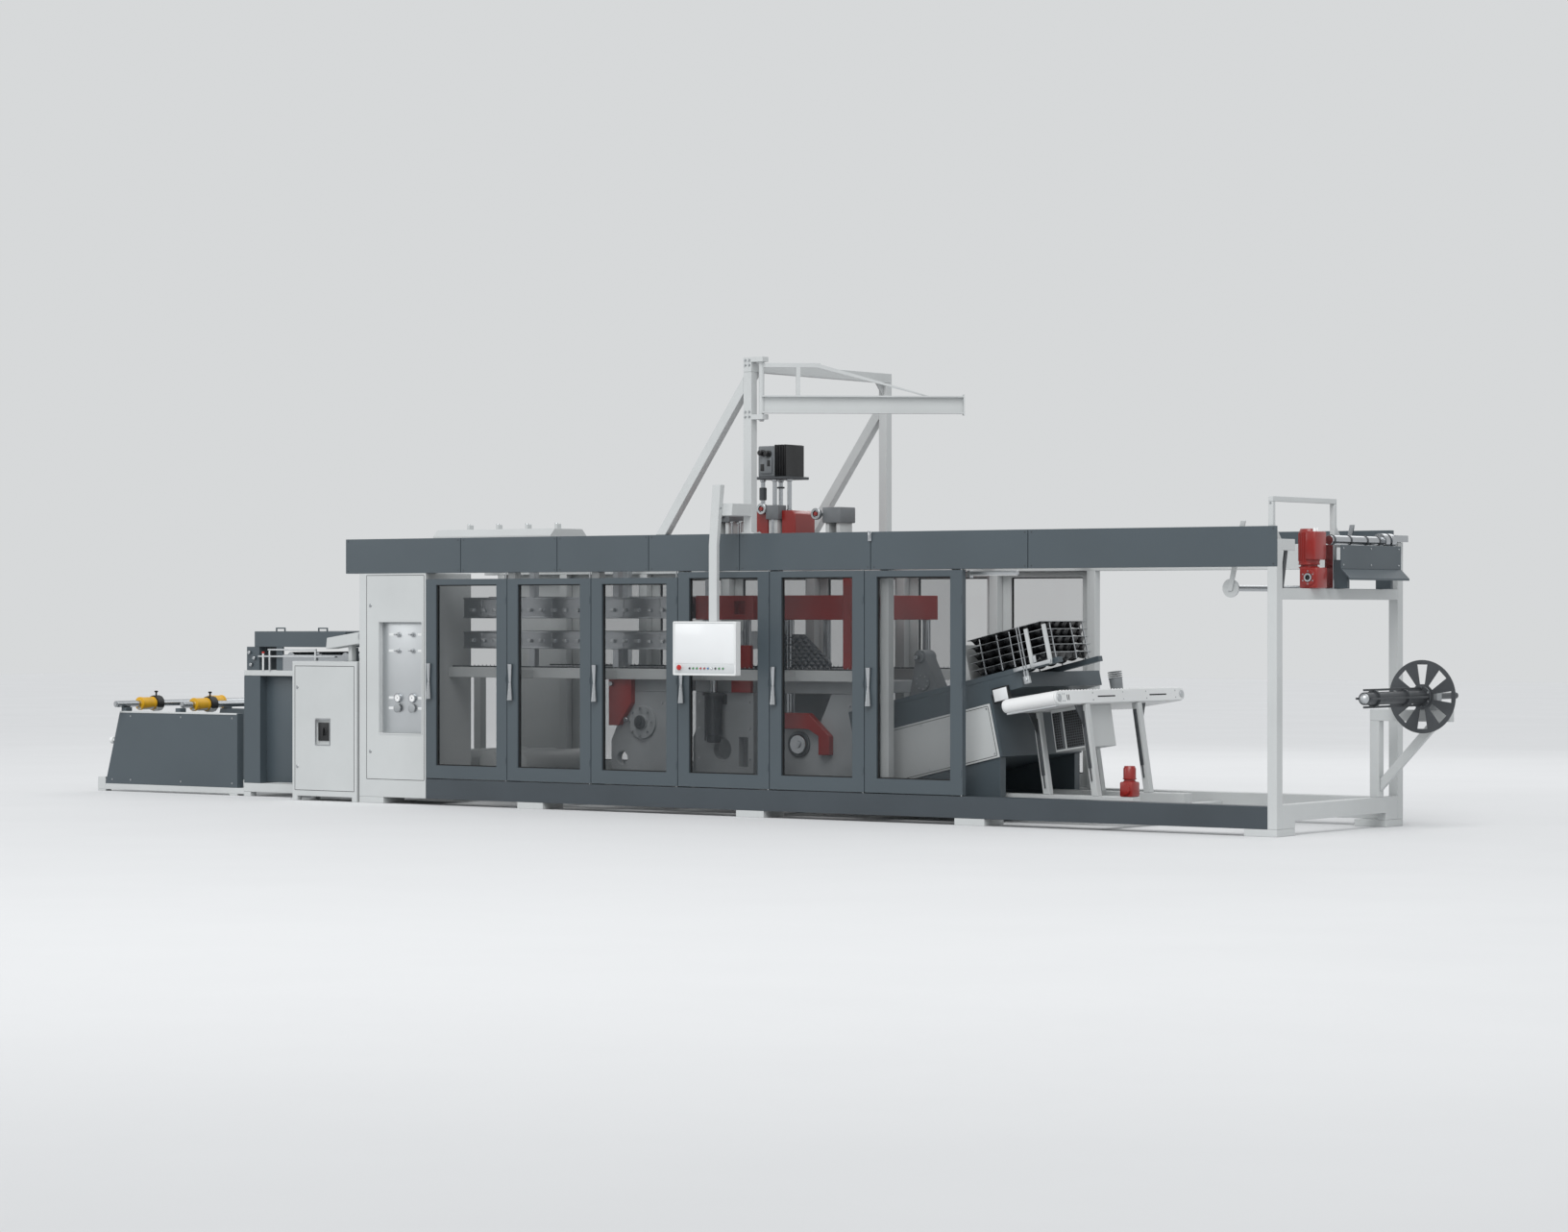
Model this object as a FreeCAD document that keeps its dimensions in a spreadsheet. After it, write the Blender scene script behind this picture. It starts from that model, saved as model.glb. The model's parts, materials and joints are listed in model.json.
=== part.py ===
import FreeCAD
import Part
import Sketcher
import os
import re

# Thermoforming machine: a line of guarded stations under a dark fascia, with a gantry and jib
# crane on the roof, a winder and scrap reel on the right end, a tilted tray stacker in the open
# bay, and an unwinder with its infeed on the left end.
# X runs along the line to the right end, Y from the operator's side to the back, Z up.
# The origin lies on the floor under the middle of the line. All sizes are in millimetres.

DOC = FreeCAD.newDocument("ThermoformingMachine")
X_AXIS = FreeCAD.Vector(1, 0, 0)
Y_AXIS = FreeCAD.Vector(0, 1, 0)
Z_AXIS = FreeCAD.Vector(0, 0, 1)

SIZES = [
    # The guarded main frame
    ("end_x", 6000, "right end face of the main frame"),
    ("front_y", -880, "front plane of the main frame"),
    ("body_len", 9120, "length of the main frame"),
    ("body_deep", 2000, "depth of the main frame"),
    ("tube", 80, "side of the square frame tube"),
    ("weld_gap", 0.3, "gap kept between tubes of one welded frame"),
    ("foot_tall", 55, "height of the floor feet"),
    ("foot_side", 280, "side of the floor feet"),
    ("foot_two", 1030, "second feet from the left edge of the doors"),
    ("foot_three", 3350, "third feet from the left edge of the doors"),
    ("plinth_top", 225, "top of the plinth rails"),
    ("plinth_deep", 140, "depth of the plinth rails"),
    ("cross_tall", 100, "height of the members between the plinths"),
    ("roof_z", 2000, "top of the posts and underside of the fascia"),
    ("beam_tall", 200, "height of the top beams behind the fascia"),
    ("roof_tube", 80, "height of the roof cross members"),
    ("post_fifth", 111, "front post behind the sixth door, from that door's left edge"),
    ("post_bay", 65, "front post beside the open bay, from the bay's left edge"),
    ("post_rear_bay", 24, "rear post beside the open bay, from the bay's left edge"),
    # The fascia panels
    ("fascia_tall", 300, "height of the fascia panels"),
    ("fascia_over", 160, "fascia beyond the left end of the frame"),
    ("fascia_seam", 6, "open seam between two fascia panels"),
    ("fascia_sheet", 12, "thickness of the fascia over the end post"),
    ("seam_one", 400, "first fascia seam from the left edge of the doors"),
    ("seam_two", 1470, "second fascia seam from the left edge of the doors"),
    ("seam_three", 2450, "third fascia seam from the left edge of the doors"),
    ("seam_four", 3390, "fourth fascia seam from the left edge of the doors"),
    ("seam_five", 4690, "fifth fascia seam from the left edge of the doors"),
    ("seam_six", 605, "sixth fascia seam from the left edge of the open bay"),
    # The control column
    ("column_wide", 770, "width of the control column"),
    ("column_deep", 600, "depth of the control column"),
    ("recess_wide", 489, "width of the instrument recess"),
    ("recess_tall", 962, "height of the instrument recess"),
    ("recess_deep", 58, "depth of the instrument recess"),
    ("recess_z", 613, "bottom of the instrument recess"),
    ("recess_x", 233, "recess from the left side of the column"),
    ("board_thick", 12, "instrument board"),
    ("knob_first", 186, "first row of knobs from the left side of the board"),
    ("knob_pitch", 169, "pitch of the two rows of knobs"),
    ("valve_top", 856, "upper valves above the board's lower edge"),
    ("valve_low", 715, "lower valves above the board's lower edge"),
    ("gauge_top", 306, "upper gauges above the board's lower edge"),
    ("gauge_low", 216, "lower gauges above the board's lower edge"),
    ("knob_r", 30, "radius of a valve knob"),
    ("knob_tall", 24, "height of a valve knob"),
    ("gauge_r", 38, "radius of a pressure gauge"),
    ("round_sides", 12, "flats round a small turned piece"),
    # The guard doors
    ("door_narrow", 917, "pitch of the three doors beside the column"),
    ("door_wide", 938, "pitch of the three doors beside the open bay"),
    ("leaf_thick", 50, "thickness of a door leaf"),
    ("leaf_back", 10, "gap between a leaf and the posts behind it"),
    ("leaf_gap", 7, "gap between two leaves"),
    ("leaf_low", 8, "gap under a leaf"),
    ("header_gap", 45, "dark gap over the three doors beside the column"),
    ("stile", 115, "width of a leaf's stiles"),
    ("rail_low", 112, "height of a leaf's bottom rail"),
    ("rail_top", 50, "height of a leaf's top rail"),
    ("glass_thick", 8, "thickness of the panes"),
    ("hinge_in", 12, "hinge pin from the edge of the leaf"),
    ("hinge_back", 6, "hinge pin behind the front of the leaf"),
    ("hinge_r", 6, "radius of a hinge pin"),
    ("hinge_play", 0.3, "play between a hinge pin and its leaf"),
    ("handle_z", 917, "bottom of a door handle"),
    ("handle_tall", 305, "height of a door handle"),
    ("handle_r", 29, "radius of the handle's lower end"),
    ("handle_waist", 12, "radius of the handle's waist"),
    ("handle_head", 23, "radius of the handle's upper end"),
    ("handle_in", 45, "handle axis from the left edge of its leaf"),
    ("handle_out", 14, "handle axis in front of its leaf"),
    # The open frame at the right end
    ("end_post_deep", 88, "depth of the end posts"),
    ("end_post_top", 2205, "top of the end posts"),
    ("end_beam_top", 1840, "top of the end cross beam"),
    ("end_beam_tall", 83, "height of the end cross beam"),
    ("end_base_top", 235, "top of the end base beam"),
    ("stub_front", 189, "length of the front stub bracket"),
    ("stub_tall", 85, "height of the front stub bracket"),
    ("hoop_tube", 40, "tube of the hoop over the end"),
    ("hoop_back", 12, "front leg of the hoop behind the front plane"),
    ("hoop_top", 2522, "top of the hoop"),
    ("hoop_rear", 958, "rear leg of the hoop behind the front plane"),
    ("hoop_rail", 50, "height of the rail behind the hoop"),
    ("gusset_tall", 130, "height of the hoop's gussets"),
    ("gusset_reach", 120, "reach of the hoop's gussets"),
    ("gusset_thick", 12, "thickness of the gussets"),
    # The gantry and its jib
    ("gantry_right", 3506, "right side of the gantry from the left edge of the doors"),
    ("gantry_top", 3690, "top of the gantry"),
    ("gantry_gusset", 110, "legs of the gusset in each upper corner of the gantry"),
    ("brace_run", 905, "reach of the front brace along the roof"),
    ("brace_drop", 114, "front brace's upper edge under the gantry's top"),
    ("brace_lower", 130, "rear brace under the front one"),
    ("brace_rise", 139, "height of a brace where it meets its post"),
    ("jib_len", 1640, "length of the jib arm"),
    ("jib_turn", 40, "jib arm at rest, from the line towards the back"),
    ("jib_drop", 416, "underside of the jib arm below the gantry's top"),
    ("jib_tall", 144, "height of the jib arm"),
    ("jib_flange", 80, "width of the jib's flanges"),
    ("jib_plate", 12, "thickness of the jib's flanges and web"),
    ("jib_out", 75, "jib pivot beside the gantry post"),
    ("jib_pin", 22, "radius of the jib's mast"),
    ("jib_tie", 34, "side of the jib's tie"),
    ("ear_thick", 40, "thickness of a jib bracket"),
    ("ear_play", 10, "play over and under the jib's arm and tie"),
    ("jib_tie_len", 480, "length of the level tie"),
    ("jib_tie_end", 1365, "foot of the sloping tie on the arm"),
    ("jib_strut_x", 280, "strut of the jib from its mast"),
    # The hanging operator panel
    ("pod_wide", 637, "width of the operator panel"),
    ("pod_tall", 435, "height of the operator panel"),
    ("pod_deep", 60, "depth of the operator panel"),
    ("pod_low", 1153, "underside of the operator panel"),
    ("pod_x", 2980, "left side of the operator panel from the left edge of the doors"),
    ("pod_y", 350, "front of the operator panel before the front plane"),
    ("stop_x", 70, "red stop button from the left side of the panel"),
    ("stop_z", 62, "red stop button above the panel's underside"),
    ("stop_r", 20, "radius of the red stop button"),
    ("stop_out", 24, "red stop button before the panel"),
    ("arm_x", 3332, "left side of the hanging arm from the left edge of the doors"),
    ("arm_wide", 80, "width of the hanging arm"),
    ("arm_deep", 40, "depth of the hanging arm"),
    ("arm_bend", 2200, "height where the hanging arm leans back"),
    ("arm_lean", 70, "lean of the hanging arm at its rear top edge"),
    ("arm_top", 2690, "top of the hanging arm"),
    ("arm_head", 60, "depth of the hanging arm's head"),
    ("arm_play", 0.3, "play between the hanging arm and the panel"),
    ("boom_z", 2440, "underside of the boom to the hanging arm"),
    ("boom_tall", 100, "height of the boom"),
    # The scrap reel and its bracket
    ("reel_x", 420, "reel axis beyond the right end"),
    ("reel_z", 1018, "height of the reel axis"),
    ("reel_disc_y", 1500, "front face of the reel disc behind the front plane"),
    ("reel_r", 280, "radius of the reel disc"),
    ("reel_thick", 10, "thickness of the reel disc"),
    ("slot_near", 95, "near end of a disc slot from the axis"),
    ("slot_far", 245, "far end of a disc slot from the axis"),
    ("slot_narrow", 22, "half width of a slot at its near end"),
    ("slot_wide", 44, "half width of a slot at its far end"),
    ("slot_count", 8, "number of disc slots"),
    ("core_r", 48, "radius of the reel mandrel"),
    ("core_len", 930, "length of the reel mandrel"),
    ("bar_orbit", 72, "mandrel bars from the axis"),
    ("bar_side", 16, "side of a mandrel bar"),
    ("reel_hub", 30, "length of the hub behind the reel disc"),
    ("reel_collar", 20, "length of a mandrel collar"),
    ("reel_shaft_r", 25, "radius of the reel shaft"),
    ("reel_shaft_end", 2060, "rear end of the reel shaft behind the front plane"),
    ("reel_play", 0.1, "running play of the reel shaft"),
    ("reel_arm_top", 914, "top of the reel bracket's arm"),
    ("reel_arm_tall", 89, "height of the reel bracket's arm"),
    ("reel_arm_len", 600, "reach of the reel bracket's arm"),
    ("reel_post_y", 1600, "reel bracket behind the front plane"),
    ("bearing_wide", 150, "width of the bearing block"),
    ("strut_low", 280, "foot of the bracket's strut"),
    ("strut_wide", 100, "height of the strut's foot"),
    ("strut_reach", 520, "strut's head beyond the right end"),
    # The winder over the right end
    ("gear_y", 510, "front of the winder's gearcase behind the front plane"),
    ("gear_deep", 163, "depth of the winder's gearcase"),
    ("gear_tall", 160, "height of the winder's gearcase"),
    ("gear_side", 140, "width of the winder's gearcase"),
    ("hub_r", 40, "radius of the hollow shaft's ring"),
    ("hub_out", 14, "hollow shaft's ring before the gearcase"),
    ("hub_z", 88, "hollow shaft above the end beam"),
    ("motor_r", 82, "radius of the winder's motor"),
    ("motor_in", 55, "winder's motor axis left of the end face"),
    ("neck_r", 62, "radius of the motor where it meets its gearcase"),
    ("neck_tall", 22, "height of the motor's neck"),
    ("motor_tall", 290, "height of the winder's motor with its neck"),
    ("lid_deep", 180, "length of the terminal box"),
    ("lid_tall", 218, "height of the terminal box"),
    ("lid_z", 52, "terminal box above the gearcase"),
    ("lid_out", 20, "terminal box beyond the motor"),
    ("hood_y", 810, "near end of the hood behind the front plane"),
    ("hood_len", 960, "length of the hood"),
    ("hood_low", 1988, "bottom of the hood's plate"),
    ("hood_tall", 182, "height of the hood's plate"),
    ("hood_sheet", 12, "thickness of the hood's sheet"),
    ("hood_out", 90, "hood plate beyond the right end"),
    ("lip_out", 85, "reach and drop of the hood's lip"),
    ("hood_arm_in", 110, "hood arms from the ends of the hood"),
    ("hood_arm_wide", 40, "width of a hood arm"),
    ("hood_arm_up", 70, "hood arms above the bottom of the hood's plate"),
    ("roller_out", 24, "web roller beyond the right end"),
    ("roller_r", 36, "radius of the web roller"),
    ("roller_play", 0.5, "web roller over the hood"),
    ("roller_y", 754, "near end of the web roller behind the front plane"),
    ("roller_end", 1755, "far end of the web roller behind the front plane"),
    ("cheek_r", 62, "radius of the web roller's cheeks"),
    ("cheek_one", 1565, "first cheek of the web roller behind the front plane"),
    ("cheek_two", 1665, "second cheek of the web roller behind the front plane"),
    ("cheek_thick", 65, "thickness of a web roller's cheek"),
    ("block_len", 215, "length of the web roller's end block"),
    ("block_tall", 52, "height of the web roller's end block"),
    ("guide_x", 481, "guide roller from the right end"),
    ("guide_z", 1842, "height of the guide roller"),
    ("guide_r", 70, "radius of the guide roller's cheek"),
    ("guide_tube_r", 24, "radius of the guide roller"),
    ("hanger_thick", 14, "thickness of the guide roller's hangers"),
    ("hanger_wide", 40, "width of a guide roller's hanger"),
    ("hanger_lean", 115, "lean of a guide roller's hanger at its top"),
    ("hanger_top", 2345, "top of the guide roller's hangers"),
    ("link_top_y", 175, "top of the dancer link behind the front plane"),
    ("link_low_y", 112, "foot of the dancer link behind the front plane"),
    # The heating and forming stations behind the doors
    ("rail_z", 1100, "underside of the chain rails"),
    ("rail_tall", 90, "height of the chain rails"),
    ("rail_y", 300, "front chain rail behind the front plane"),
    ("rail_wide", 60, "width of a chain rail"),
    ("chain_len", 4450, "length of the chain rails"),
    ("bracket_tall", 72, "height of the chain rails' brackets"),
    ("oven_x", 150, "left end of the ovens from the left edge of the doors"),
    ("oven_len", 2450, "length of the ovens"),
    ("oven_y", 330, "front of the ovens behind the front plane"),
    ("oven_low_z", 1350, "underside of the lower oven"),
    ("oven_low_tall", 150, "height of the lower oven"),
    ("oven_top_z", 1610, "underside of the upper oven"),
    ("oven_top_tall", 180, "height of the upper oven"),
    ("hanger", 60, "side of an oven hanger"),
    ("tank_r", 105, "radius of an air tank"),
    ("tank_len", 880, "length of an air tank's barrel"),
    ("tank_end", 45, "depth of an air tank's end bosses"),
    ("tank_neck", 62, "radius of an air tank's end bosses"),
    ("tank_y", 850, "front of a tank's barrel behind the front plane"),
    ("tank_z", 345, "height of the air tanks' axes"),
    ("tank_x", 420, "first air tank from the left end of the frame"),
    ("tank_pitch", 340, "pitch of the air tanks"),
    ("saddle_wide", 120, "width of a tank's saddle"),
    ("bearer_front", 90, "front tank bearer behind the front of the barrels"),
    ("bearer_rear", 700, "rear tank bearer behind the front of the barrels"),
    ("press_y", 400, "front side plates behind the front plane"),
    ("press_plate", 70, "thickness of a press side plate"),
    ("press_top", 1000, "top of the press side plates"),
    ("press_one", 1730, "left side of the first press from the left edge of the doors"),
    ("press_two", 2630, "left side of the second press from the left edge of the doors"),
    ("press_three", 3490, "left side of the third press from the left edge of the doors"),
    ("press_wide", 600, "width of the first and second press"),
    ("press_long", 760, "width of the third press"),
    ("cast_step", 200, "width of the sloping shoulder of the first side plate"),
    ("cast_slope", 420, "height of that shoulder"),
    ("high_x", 530, "high part of the third side plate from its left side"),
    ("low_x", 400, "low part of the third side plate up to its slope"),
    ("low_top", 730, "top of that low part"),
    ("flange_x", 350, "bearing flange from the left side of the first press"),
    ("flange_z", 740, "height of the bearing flange"),
    ("flange_r", 140, "radius of the bearing flange"),
    ("flange_thick", 25, "thickness of the bearing flange"),
    ("flange_hub", 62, "radius of the bearing flange's hub"),
    ("port_x", 120, "port from the left side of the first press"),
    ("port_z", 436, "height of the port in the first side plate"),
    ("port_r", 55, "radius of the port in the first side plate"),
    ("mouth_x", 280, "round opening from the left side of the second press"),
    ("mouth_z", 530, "height of the round opening"),
    ("mouth_r", 90, "radius of the opening in the second side plate"),
    ("slot_x", 450, "upright slot from the left side of the second press"),
    ("slot_low", 386, "foot of the upright slot"),
    ("slot_tall", 244, "height of the upright slot"),
    ("slot_side", 90, "width of the upright slot"),
    ("pillar_r", 34, "radius of a press pillar"),
    ("pillar_in", 90, "press pillars from the sides of their press"),
    ("platen_tall", 100, "height of the lower platens"),
    ("head_z", 1600, "underside of the press crossheads"),
    ("head_tall", 200, "height of the press crossheads"),
    ("pocket_x", 400, "pocket from the left side of the second crosshead"),
    ("pocket_side", 110, "side of the pocket in the crosshead"),
    ("pocket_deep", 60, "depth of the pocket in the crosshead"),
    ("pocket_in", 45, "pocket above the underside of the crosshead"),
    ("lever_wide", 240, "width of the red lever's head"),
    ("lever_foot", 105, "width of the red lever's foot"),
    ("lever_deep", 60, "thickness of the red pieces before the side plates"),
    ("lever_knee", 900, "height where the red lever narrows"),
    ("lever_low", 710, "underside of the red lever"),
    ("lever_x", 20, "red lever's head from the left side of the first press"),
    ("link_x", 50, "red link from the left side of the third press"),
    ("link_run", 500, "reach of the red link"),
    ("link_bend", 290, "bend of the red link from its left end"),
    ("link_z", 712, "underside of the red link's arm"),
    ("link_arm", 130, "height of the red link's arm"),
    ("link_drop", 208, "red link's foot below its arm"),
    ("link_toe", 110, "width of the red link's foot"),
    ("red_block_top", 1390, "top of the red block before the second press"),
    ("red_bracket_x", 670, "red bracket from the left side of the third press"),
    ("red_bracket_wide", 80, "width of the red bracket"),
    ("red_bracket_top", 1950, "top of the red bracket"),
    # The drives on the roof
    ("deck_x", 2450, "left end of the drives' deck from the left edge of the doors"),
    ("deck_len", 1400, "length of the drives' deck"),
    ("deck_y", 800, "drives behind the front plane"),
    ("deck_deep", 420, "depth of the drives' deck"),
    ("deck_tall", 20, "thickness of the drives' deck"),
    ("block_one", 2820, "left red block from the left edge of the doors"),
    ("block_two", 3180, "right red block from the left edge of the doors"),
    ("block_wide", 220, "width of the left red block"),
    ("block_small", 140, "width of the right red block"),
    ("block_top", 2510, "top of the red blocks"),
    ("block_in", 60, "red blocks behind the front of the deck"),
    ("block_deep", 280, "depth of the red blocks"),
    ("servo_x", 2920, "left side of the servo drive from the left edge of the doors"),
    ("servo_wide", 310, "width of the servo drive"),
    ("servo_low", 2770, "underside of the servo drive"),
    ("servo_tall", 296, "height of the servo drive"),
    ("stalk", 40, "side of the servo drive's columns"),
    ("stalk_in", 15, "servo drive's columns from its sides"),
    ("case_x", 2476, "left control case from the left edge of the doors"),
    ("case_wide", 163, "width of the control cases"),
    ("case_top", 2573, "top of the control cases"),
    ("case_right", 3556, "right control case from the left edge of the doors"),
    ("case_long", 223, "width of the right control case"),
    ("case_deep", 160, "depth of the control cases"),
    ("cover_x", 193, "oven cover from the left end of the frame"),
    ("cover_len", 1350, "length of the oven cover"),
    ("cover_y", 750, "oven cover behind the front plane"),
    ("cover_deep", 500, "depth of the oven cover"),
    ("cover_top", 2391, "top of the oven cover"),
    ("skid_tall", 30, "height of the skids under the oven cover"),
    ("cover_round", 60, "sloped edges of the oven cover"),
    ("lug_first", 181, "first lifting lug from the left end of the cover"),
    ("lug_pitch", 336, "pitch of the lifting lugs"),
    ("lug_wide", 30, "width of a lifting lug"),
    ("lug_tall", 45, "height of a lifting lug"),
    # The tray stacker in the open bay
    ("stack_tilt", 13, "tilt of the stacker"),
    ("stack_x", 145, "lower right corner of the stacker's side from the open bay's left edge"),
    ("stack_z", 526, "height of that corner"),
    ("stack_y", 300, "front of the stacker behind the front plane"),
    ("stack_deep", 1200, "depth of the stacker"),
    ("stack_left", 1350, "stacker to the left of that corner"),
    ("stack_right", 330, "stacker to the right of that corner"),
    ("stack_side", 430, "height of the stacker's pale side"),
    ("stack_tall", 610, "height of the stacker's body"),
    ("stack_bridge", 490, "underside of the stacker's end over the conveyor"),
    ("stack_short", 20, "stacker's body below that end, right of the corner"),
    ("rail_rise", 42, "height of the rails under the trays"),
    ("bearer_wide", 80, "width of the stacker's bearers"),
    ("bearer_tall", 60, "height of the stacker's bearers"),
    ("skin", 14, "thickness of the stacker's pale panels"),
    ("tray_right", 610, "right side of the trays from that corner"),
    ("tray_long", 700, "length of a tray"),
    ("tray_wide", 660, "width of a tray"),
    ("tray_pitch", 61, "pitch of the stacked trays"),
    ("tray_lip", 12, "thickness of a tray's edge"),
    ("tray_in", 22, "tray's walls inside its edge"),
    ("tray_count", 5, "number of stacked trays"),
    ("guide_one", 452, "first guide bar from that corner"),
    ("guide_two", 620, "second guide bar from that corner"),
    ("guide_wide", 34, "width of a guide bar"),
    ("guide_thick", 16, "thickness of a guide bar"),
    ("guide_tall", 315, "height of the guide bars"),
    ("stop_left", -175, "pale back plate from that corner"),
    ("stop_wide", 60, "width of the pale back plate"),
    ("stop_tall", 330, "height of the pale back plate"),
    # The cross conveyor
    ("belt_x", 335, "left side of the cross conveyor from the open bay's left edge"),
    ("belt_wide", 500, "width of the cross conveyor"),
    ("belt_y", 50, "front of the cross conveyor behind the front plane"),
    ("belt_len", 1950, "length of the cross conveyor"),
    ("belt_z", 872, "underside of the cross conveyor's left side"),
    ("belt_tilt", 9, "sideways tilt of the cross conveyor"),
    ("belt_thick", 112, "height of the cross conveyor"),
    ("belt_cheek", 16, "thickness of the conveyor's side plates"),
    ("cheek_slot", 150, "length of a slot in the conveyor's side plates"),
    ("cheek_slot_tall", 14, "height of a slot in the conveyor's side plates"),
    ("cart_z", 235, "top of the conveyor's cart"),
    ("cart_deep", 120, "depth of the cart's beams"),
    ("cart_first", 430, "front cart beam behind the front of the conveyor"),
    ("cart_pitch", 780, "pitch of the cart's beams"),
    ("cart_reach", 1250, "right end of the cart from the open bay's left edge"),
    ("leg_side", 60, "side of a conveyor leg"),
    ("vent_x", 125, "conveyor's control case from its left side"),
    ("vent_wide", 300, "width of the conveyor's control case"),
    ("vent_y", 500, "front of the conveyor's control case"),
    ("vent_deep", 420, "depth of the conveyor's control case"),
    ("vent_tall", 330, "height of the conveyor's control case"),
    ("cart_motor_r", 48, "radius of the cart's motor"),
    # The infeed and the unwinder
    ("desk_gap", 30, "infeed cabinet from the left end of the frame"),
    ("desk_wide", 770, "width of the infeed cabinet"),
    ("desk_top", 1230, "top of the infeed cabinet"),
    ("desk_low", 40, "underside of the infeed cabinet"),
    ("desk_foot", 60, "side of a cabinet foot"),
    ("desk_recess_x", 274, "switch recess from the left side of the cabinet"),
    ("desk_recess_z", 490, "bottom of the switch recess"),
    ("desk_recess_wide", 180, "width of the switch recess"),
    ("desk_recess_tall", 235, "height of the switch recess"),
    ("desk_recess_deep", 30, "depth of the switch recess"),
    ("stand_wide", 1680, "length of the infeed stand"),
    ("stand_y", 300, "front of the infeed behind the front plane"),
    ("stand_deep", 1400, "depth of the infeed"),
    ("stand_top", 1140, "top of the infeed stand"),
    ("stand_tube", 80, "side of the infeed stand's tubes"),
    ("stand_rail", 50, "height of the stand's top rails"),
    ("stand_base", 40, "underside of the stand's base rails"),
    ("stand_case", 200, "width of the closed end of the stand"),
    ("web_z", 1260, "height of the infeed rollers"),
    ("web_roll_r", 45, "radius of the infeed rollers"),
    ("web_roll_first", 560, "first infeed roller from the left end of the stand"),
    ("web_roll_pitch", 330, "pitch of the infeed rollers"),
    ("side_plate", 20, "thickness of the side plates and hood legs"),
    ("cowl_x", 131, "left end of the hood from the left end of the stand"),
    ("cowl_z", 1351, "underside of the infeed hood"),
    ("cowl_wide", 1109, "length of the infeed hood"),
    ("cowl_tall", 139, "height of the infeed hood"),
    ("cowl_leg", 80, "width of a leg of the hood"),
    ("grip_first", 392, "first hood handle from the left end of the stand"),
    ("grip_pitch", 515, "pitch of the hood's handles"),
    ("grip_wide", 115, "width of a hood handle"),
    ("grip_tall", 35, "height of a hood handle"),
    ("grip_bar", 12, "bar of a hood handle"),
    ("brake_x", 35, "brake block from the left end of the stand"),
    ("brake_wide", 155, "width of the brake block"),
    ("brake_deep", 300, "depth of the brake block"),
    ("reel_side_len", 1695, "length of the unwinder's sides"),
    ("reel_gap", 1780, "lower left corner of the unwinder's sides from the stand"),
    ("reel_slope", 190, "slope of the unwinder's left edge"),
    ("reel_side_top", 745, "top of the unwinder's sides"),
    ("reel_side_low", 70, "bottom of the unwinder's sides"),
    ("reel_base", 16, "underside of the unwinder's base rails"),
    ("reel_foot", 100, "length of the unwinder's foot blocks"),
    ("reel_foot_tall", 114, "height of the unwinder's foot blocks"),
    ("unwind_r", 30, "radius of the unwinder's shafts"),
    ("unwind_z", 812, "height of the unwinder's shafts"),
    ("unwind_one", 240, "first unwinder shaft from the left end of the sides"),
    ("unwind_two", 940, "second unwinder shaft from the left end of the sides"),
    ("shaft_one_y", 200, "near end of the first shaft behind the front plane"),
    ("shaft_two_y", 360, "near end of the second shaft behind the front plane"),
    ("shaft_end_y", 1900, "far end of the shafts behind the front plane"),
    ("clamp_r", 58, "radius of a shaft clamp"),
    ("clamp_len", 180, "length of a shaft clamp"),
    ("clamp_in", 120, "near clamp from the near end of its shaft"),
    ("collar_r", 74, "radius of a shaft collar"),
    ("collar_len", 80, "length of a shaft collar"),
    ("clamp_far", 1600, "far clamp behind the front plane"),
]


NAMES = {alias for alias, value, meaning in SIZES}
NODES = []


def make_sheet():
    """Write the sizes into a spreadsheet, one row each: value, meaning and alias."""
    sheet = DOC.addObject("Spreadsheet::Sheet", "Sizes")
    for row, (alias, value, meaning) in enumerate(SIZES, start=1):
        sheet.set(f"A{row}", str(value))
        sheet.set(f"B{row}", meaning)
        sheet.setAlias(f"A{row}", alias)
    DOC.recompute()
    return sheet


SHEET = make_sheet()


def size(alias):
    """The value of one size, for counts and for choices of the script."""
    return float(SHEET.get(alias))


def formula(text):
    """A formula of size names, as an expression on the sheet."""
    return re.sub(r"[a-z][a-z_]*", lambda word: name_on_sheet(word.group()), str(text))


def name_on_sheet(word):
    """A size's name on the sheet, and any other word as it is."""
    return "Sizes." + word if word in NAMES else word


def bind(thing, prop, text):
    """Tie one property of an object to a formula of the sizes."""
    thing.setExpression(prop, formula(text))
    return thing


def place(thing, at, axis=None, angle=None):
    """Tie an object's place, and its turn about an axis, to formulas of the sizes."""
    if axis is not None:
        thing.Placement = FreeCAD.Placement(FreeCAD.Vector(), FreeCAD.Rotation(axis, 90))
        bind(thing, "Placement.Rotation.Angle", angle)
    for letter, text in zip("xyz", at):
        bind(thing, "Placement.Base." + letter, text)
    return thing


def box(name, at, dims):
    """A block from its low corner and its three lengths."""
    made = DOC.addObject("Part::Box", name)
    for prop, text in zip(("Length", "Width", "Height"), dims):
        bind(made, prop, text)
    return place(made, at)


TURNS = {"X": (Y_AXIS, "90"), "Y": (X_AXIS, "-90"), "Z": (None, None)}


def rod(name, at, radius, length, along="Z"):
    """A round bar from the middle of its start, along one axis."""
    made = DOC.addObject("Part::Cylinder", name)
    bind(made, "Radius", radius)
    bind(made, "Height", length)
    return place(made, at, *TURNS[along])


def prism(name, at, radius, length, along="Z"):
    """A small round bar with flats, from the middle of its start, along one axis."""
    made = DOC.addObject("Part::Prism", name)
    bind(made, "Polygon", "round_sides")
    bind(made, "Circumradius", radius)
    bind(made, "Height", length)
    return place(made, at, *TURNS[along])


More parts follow.
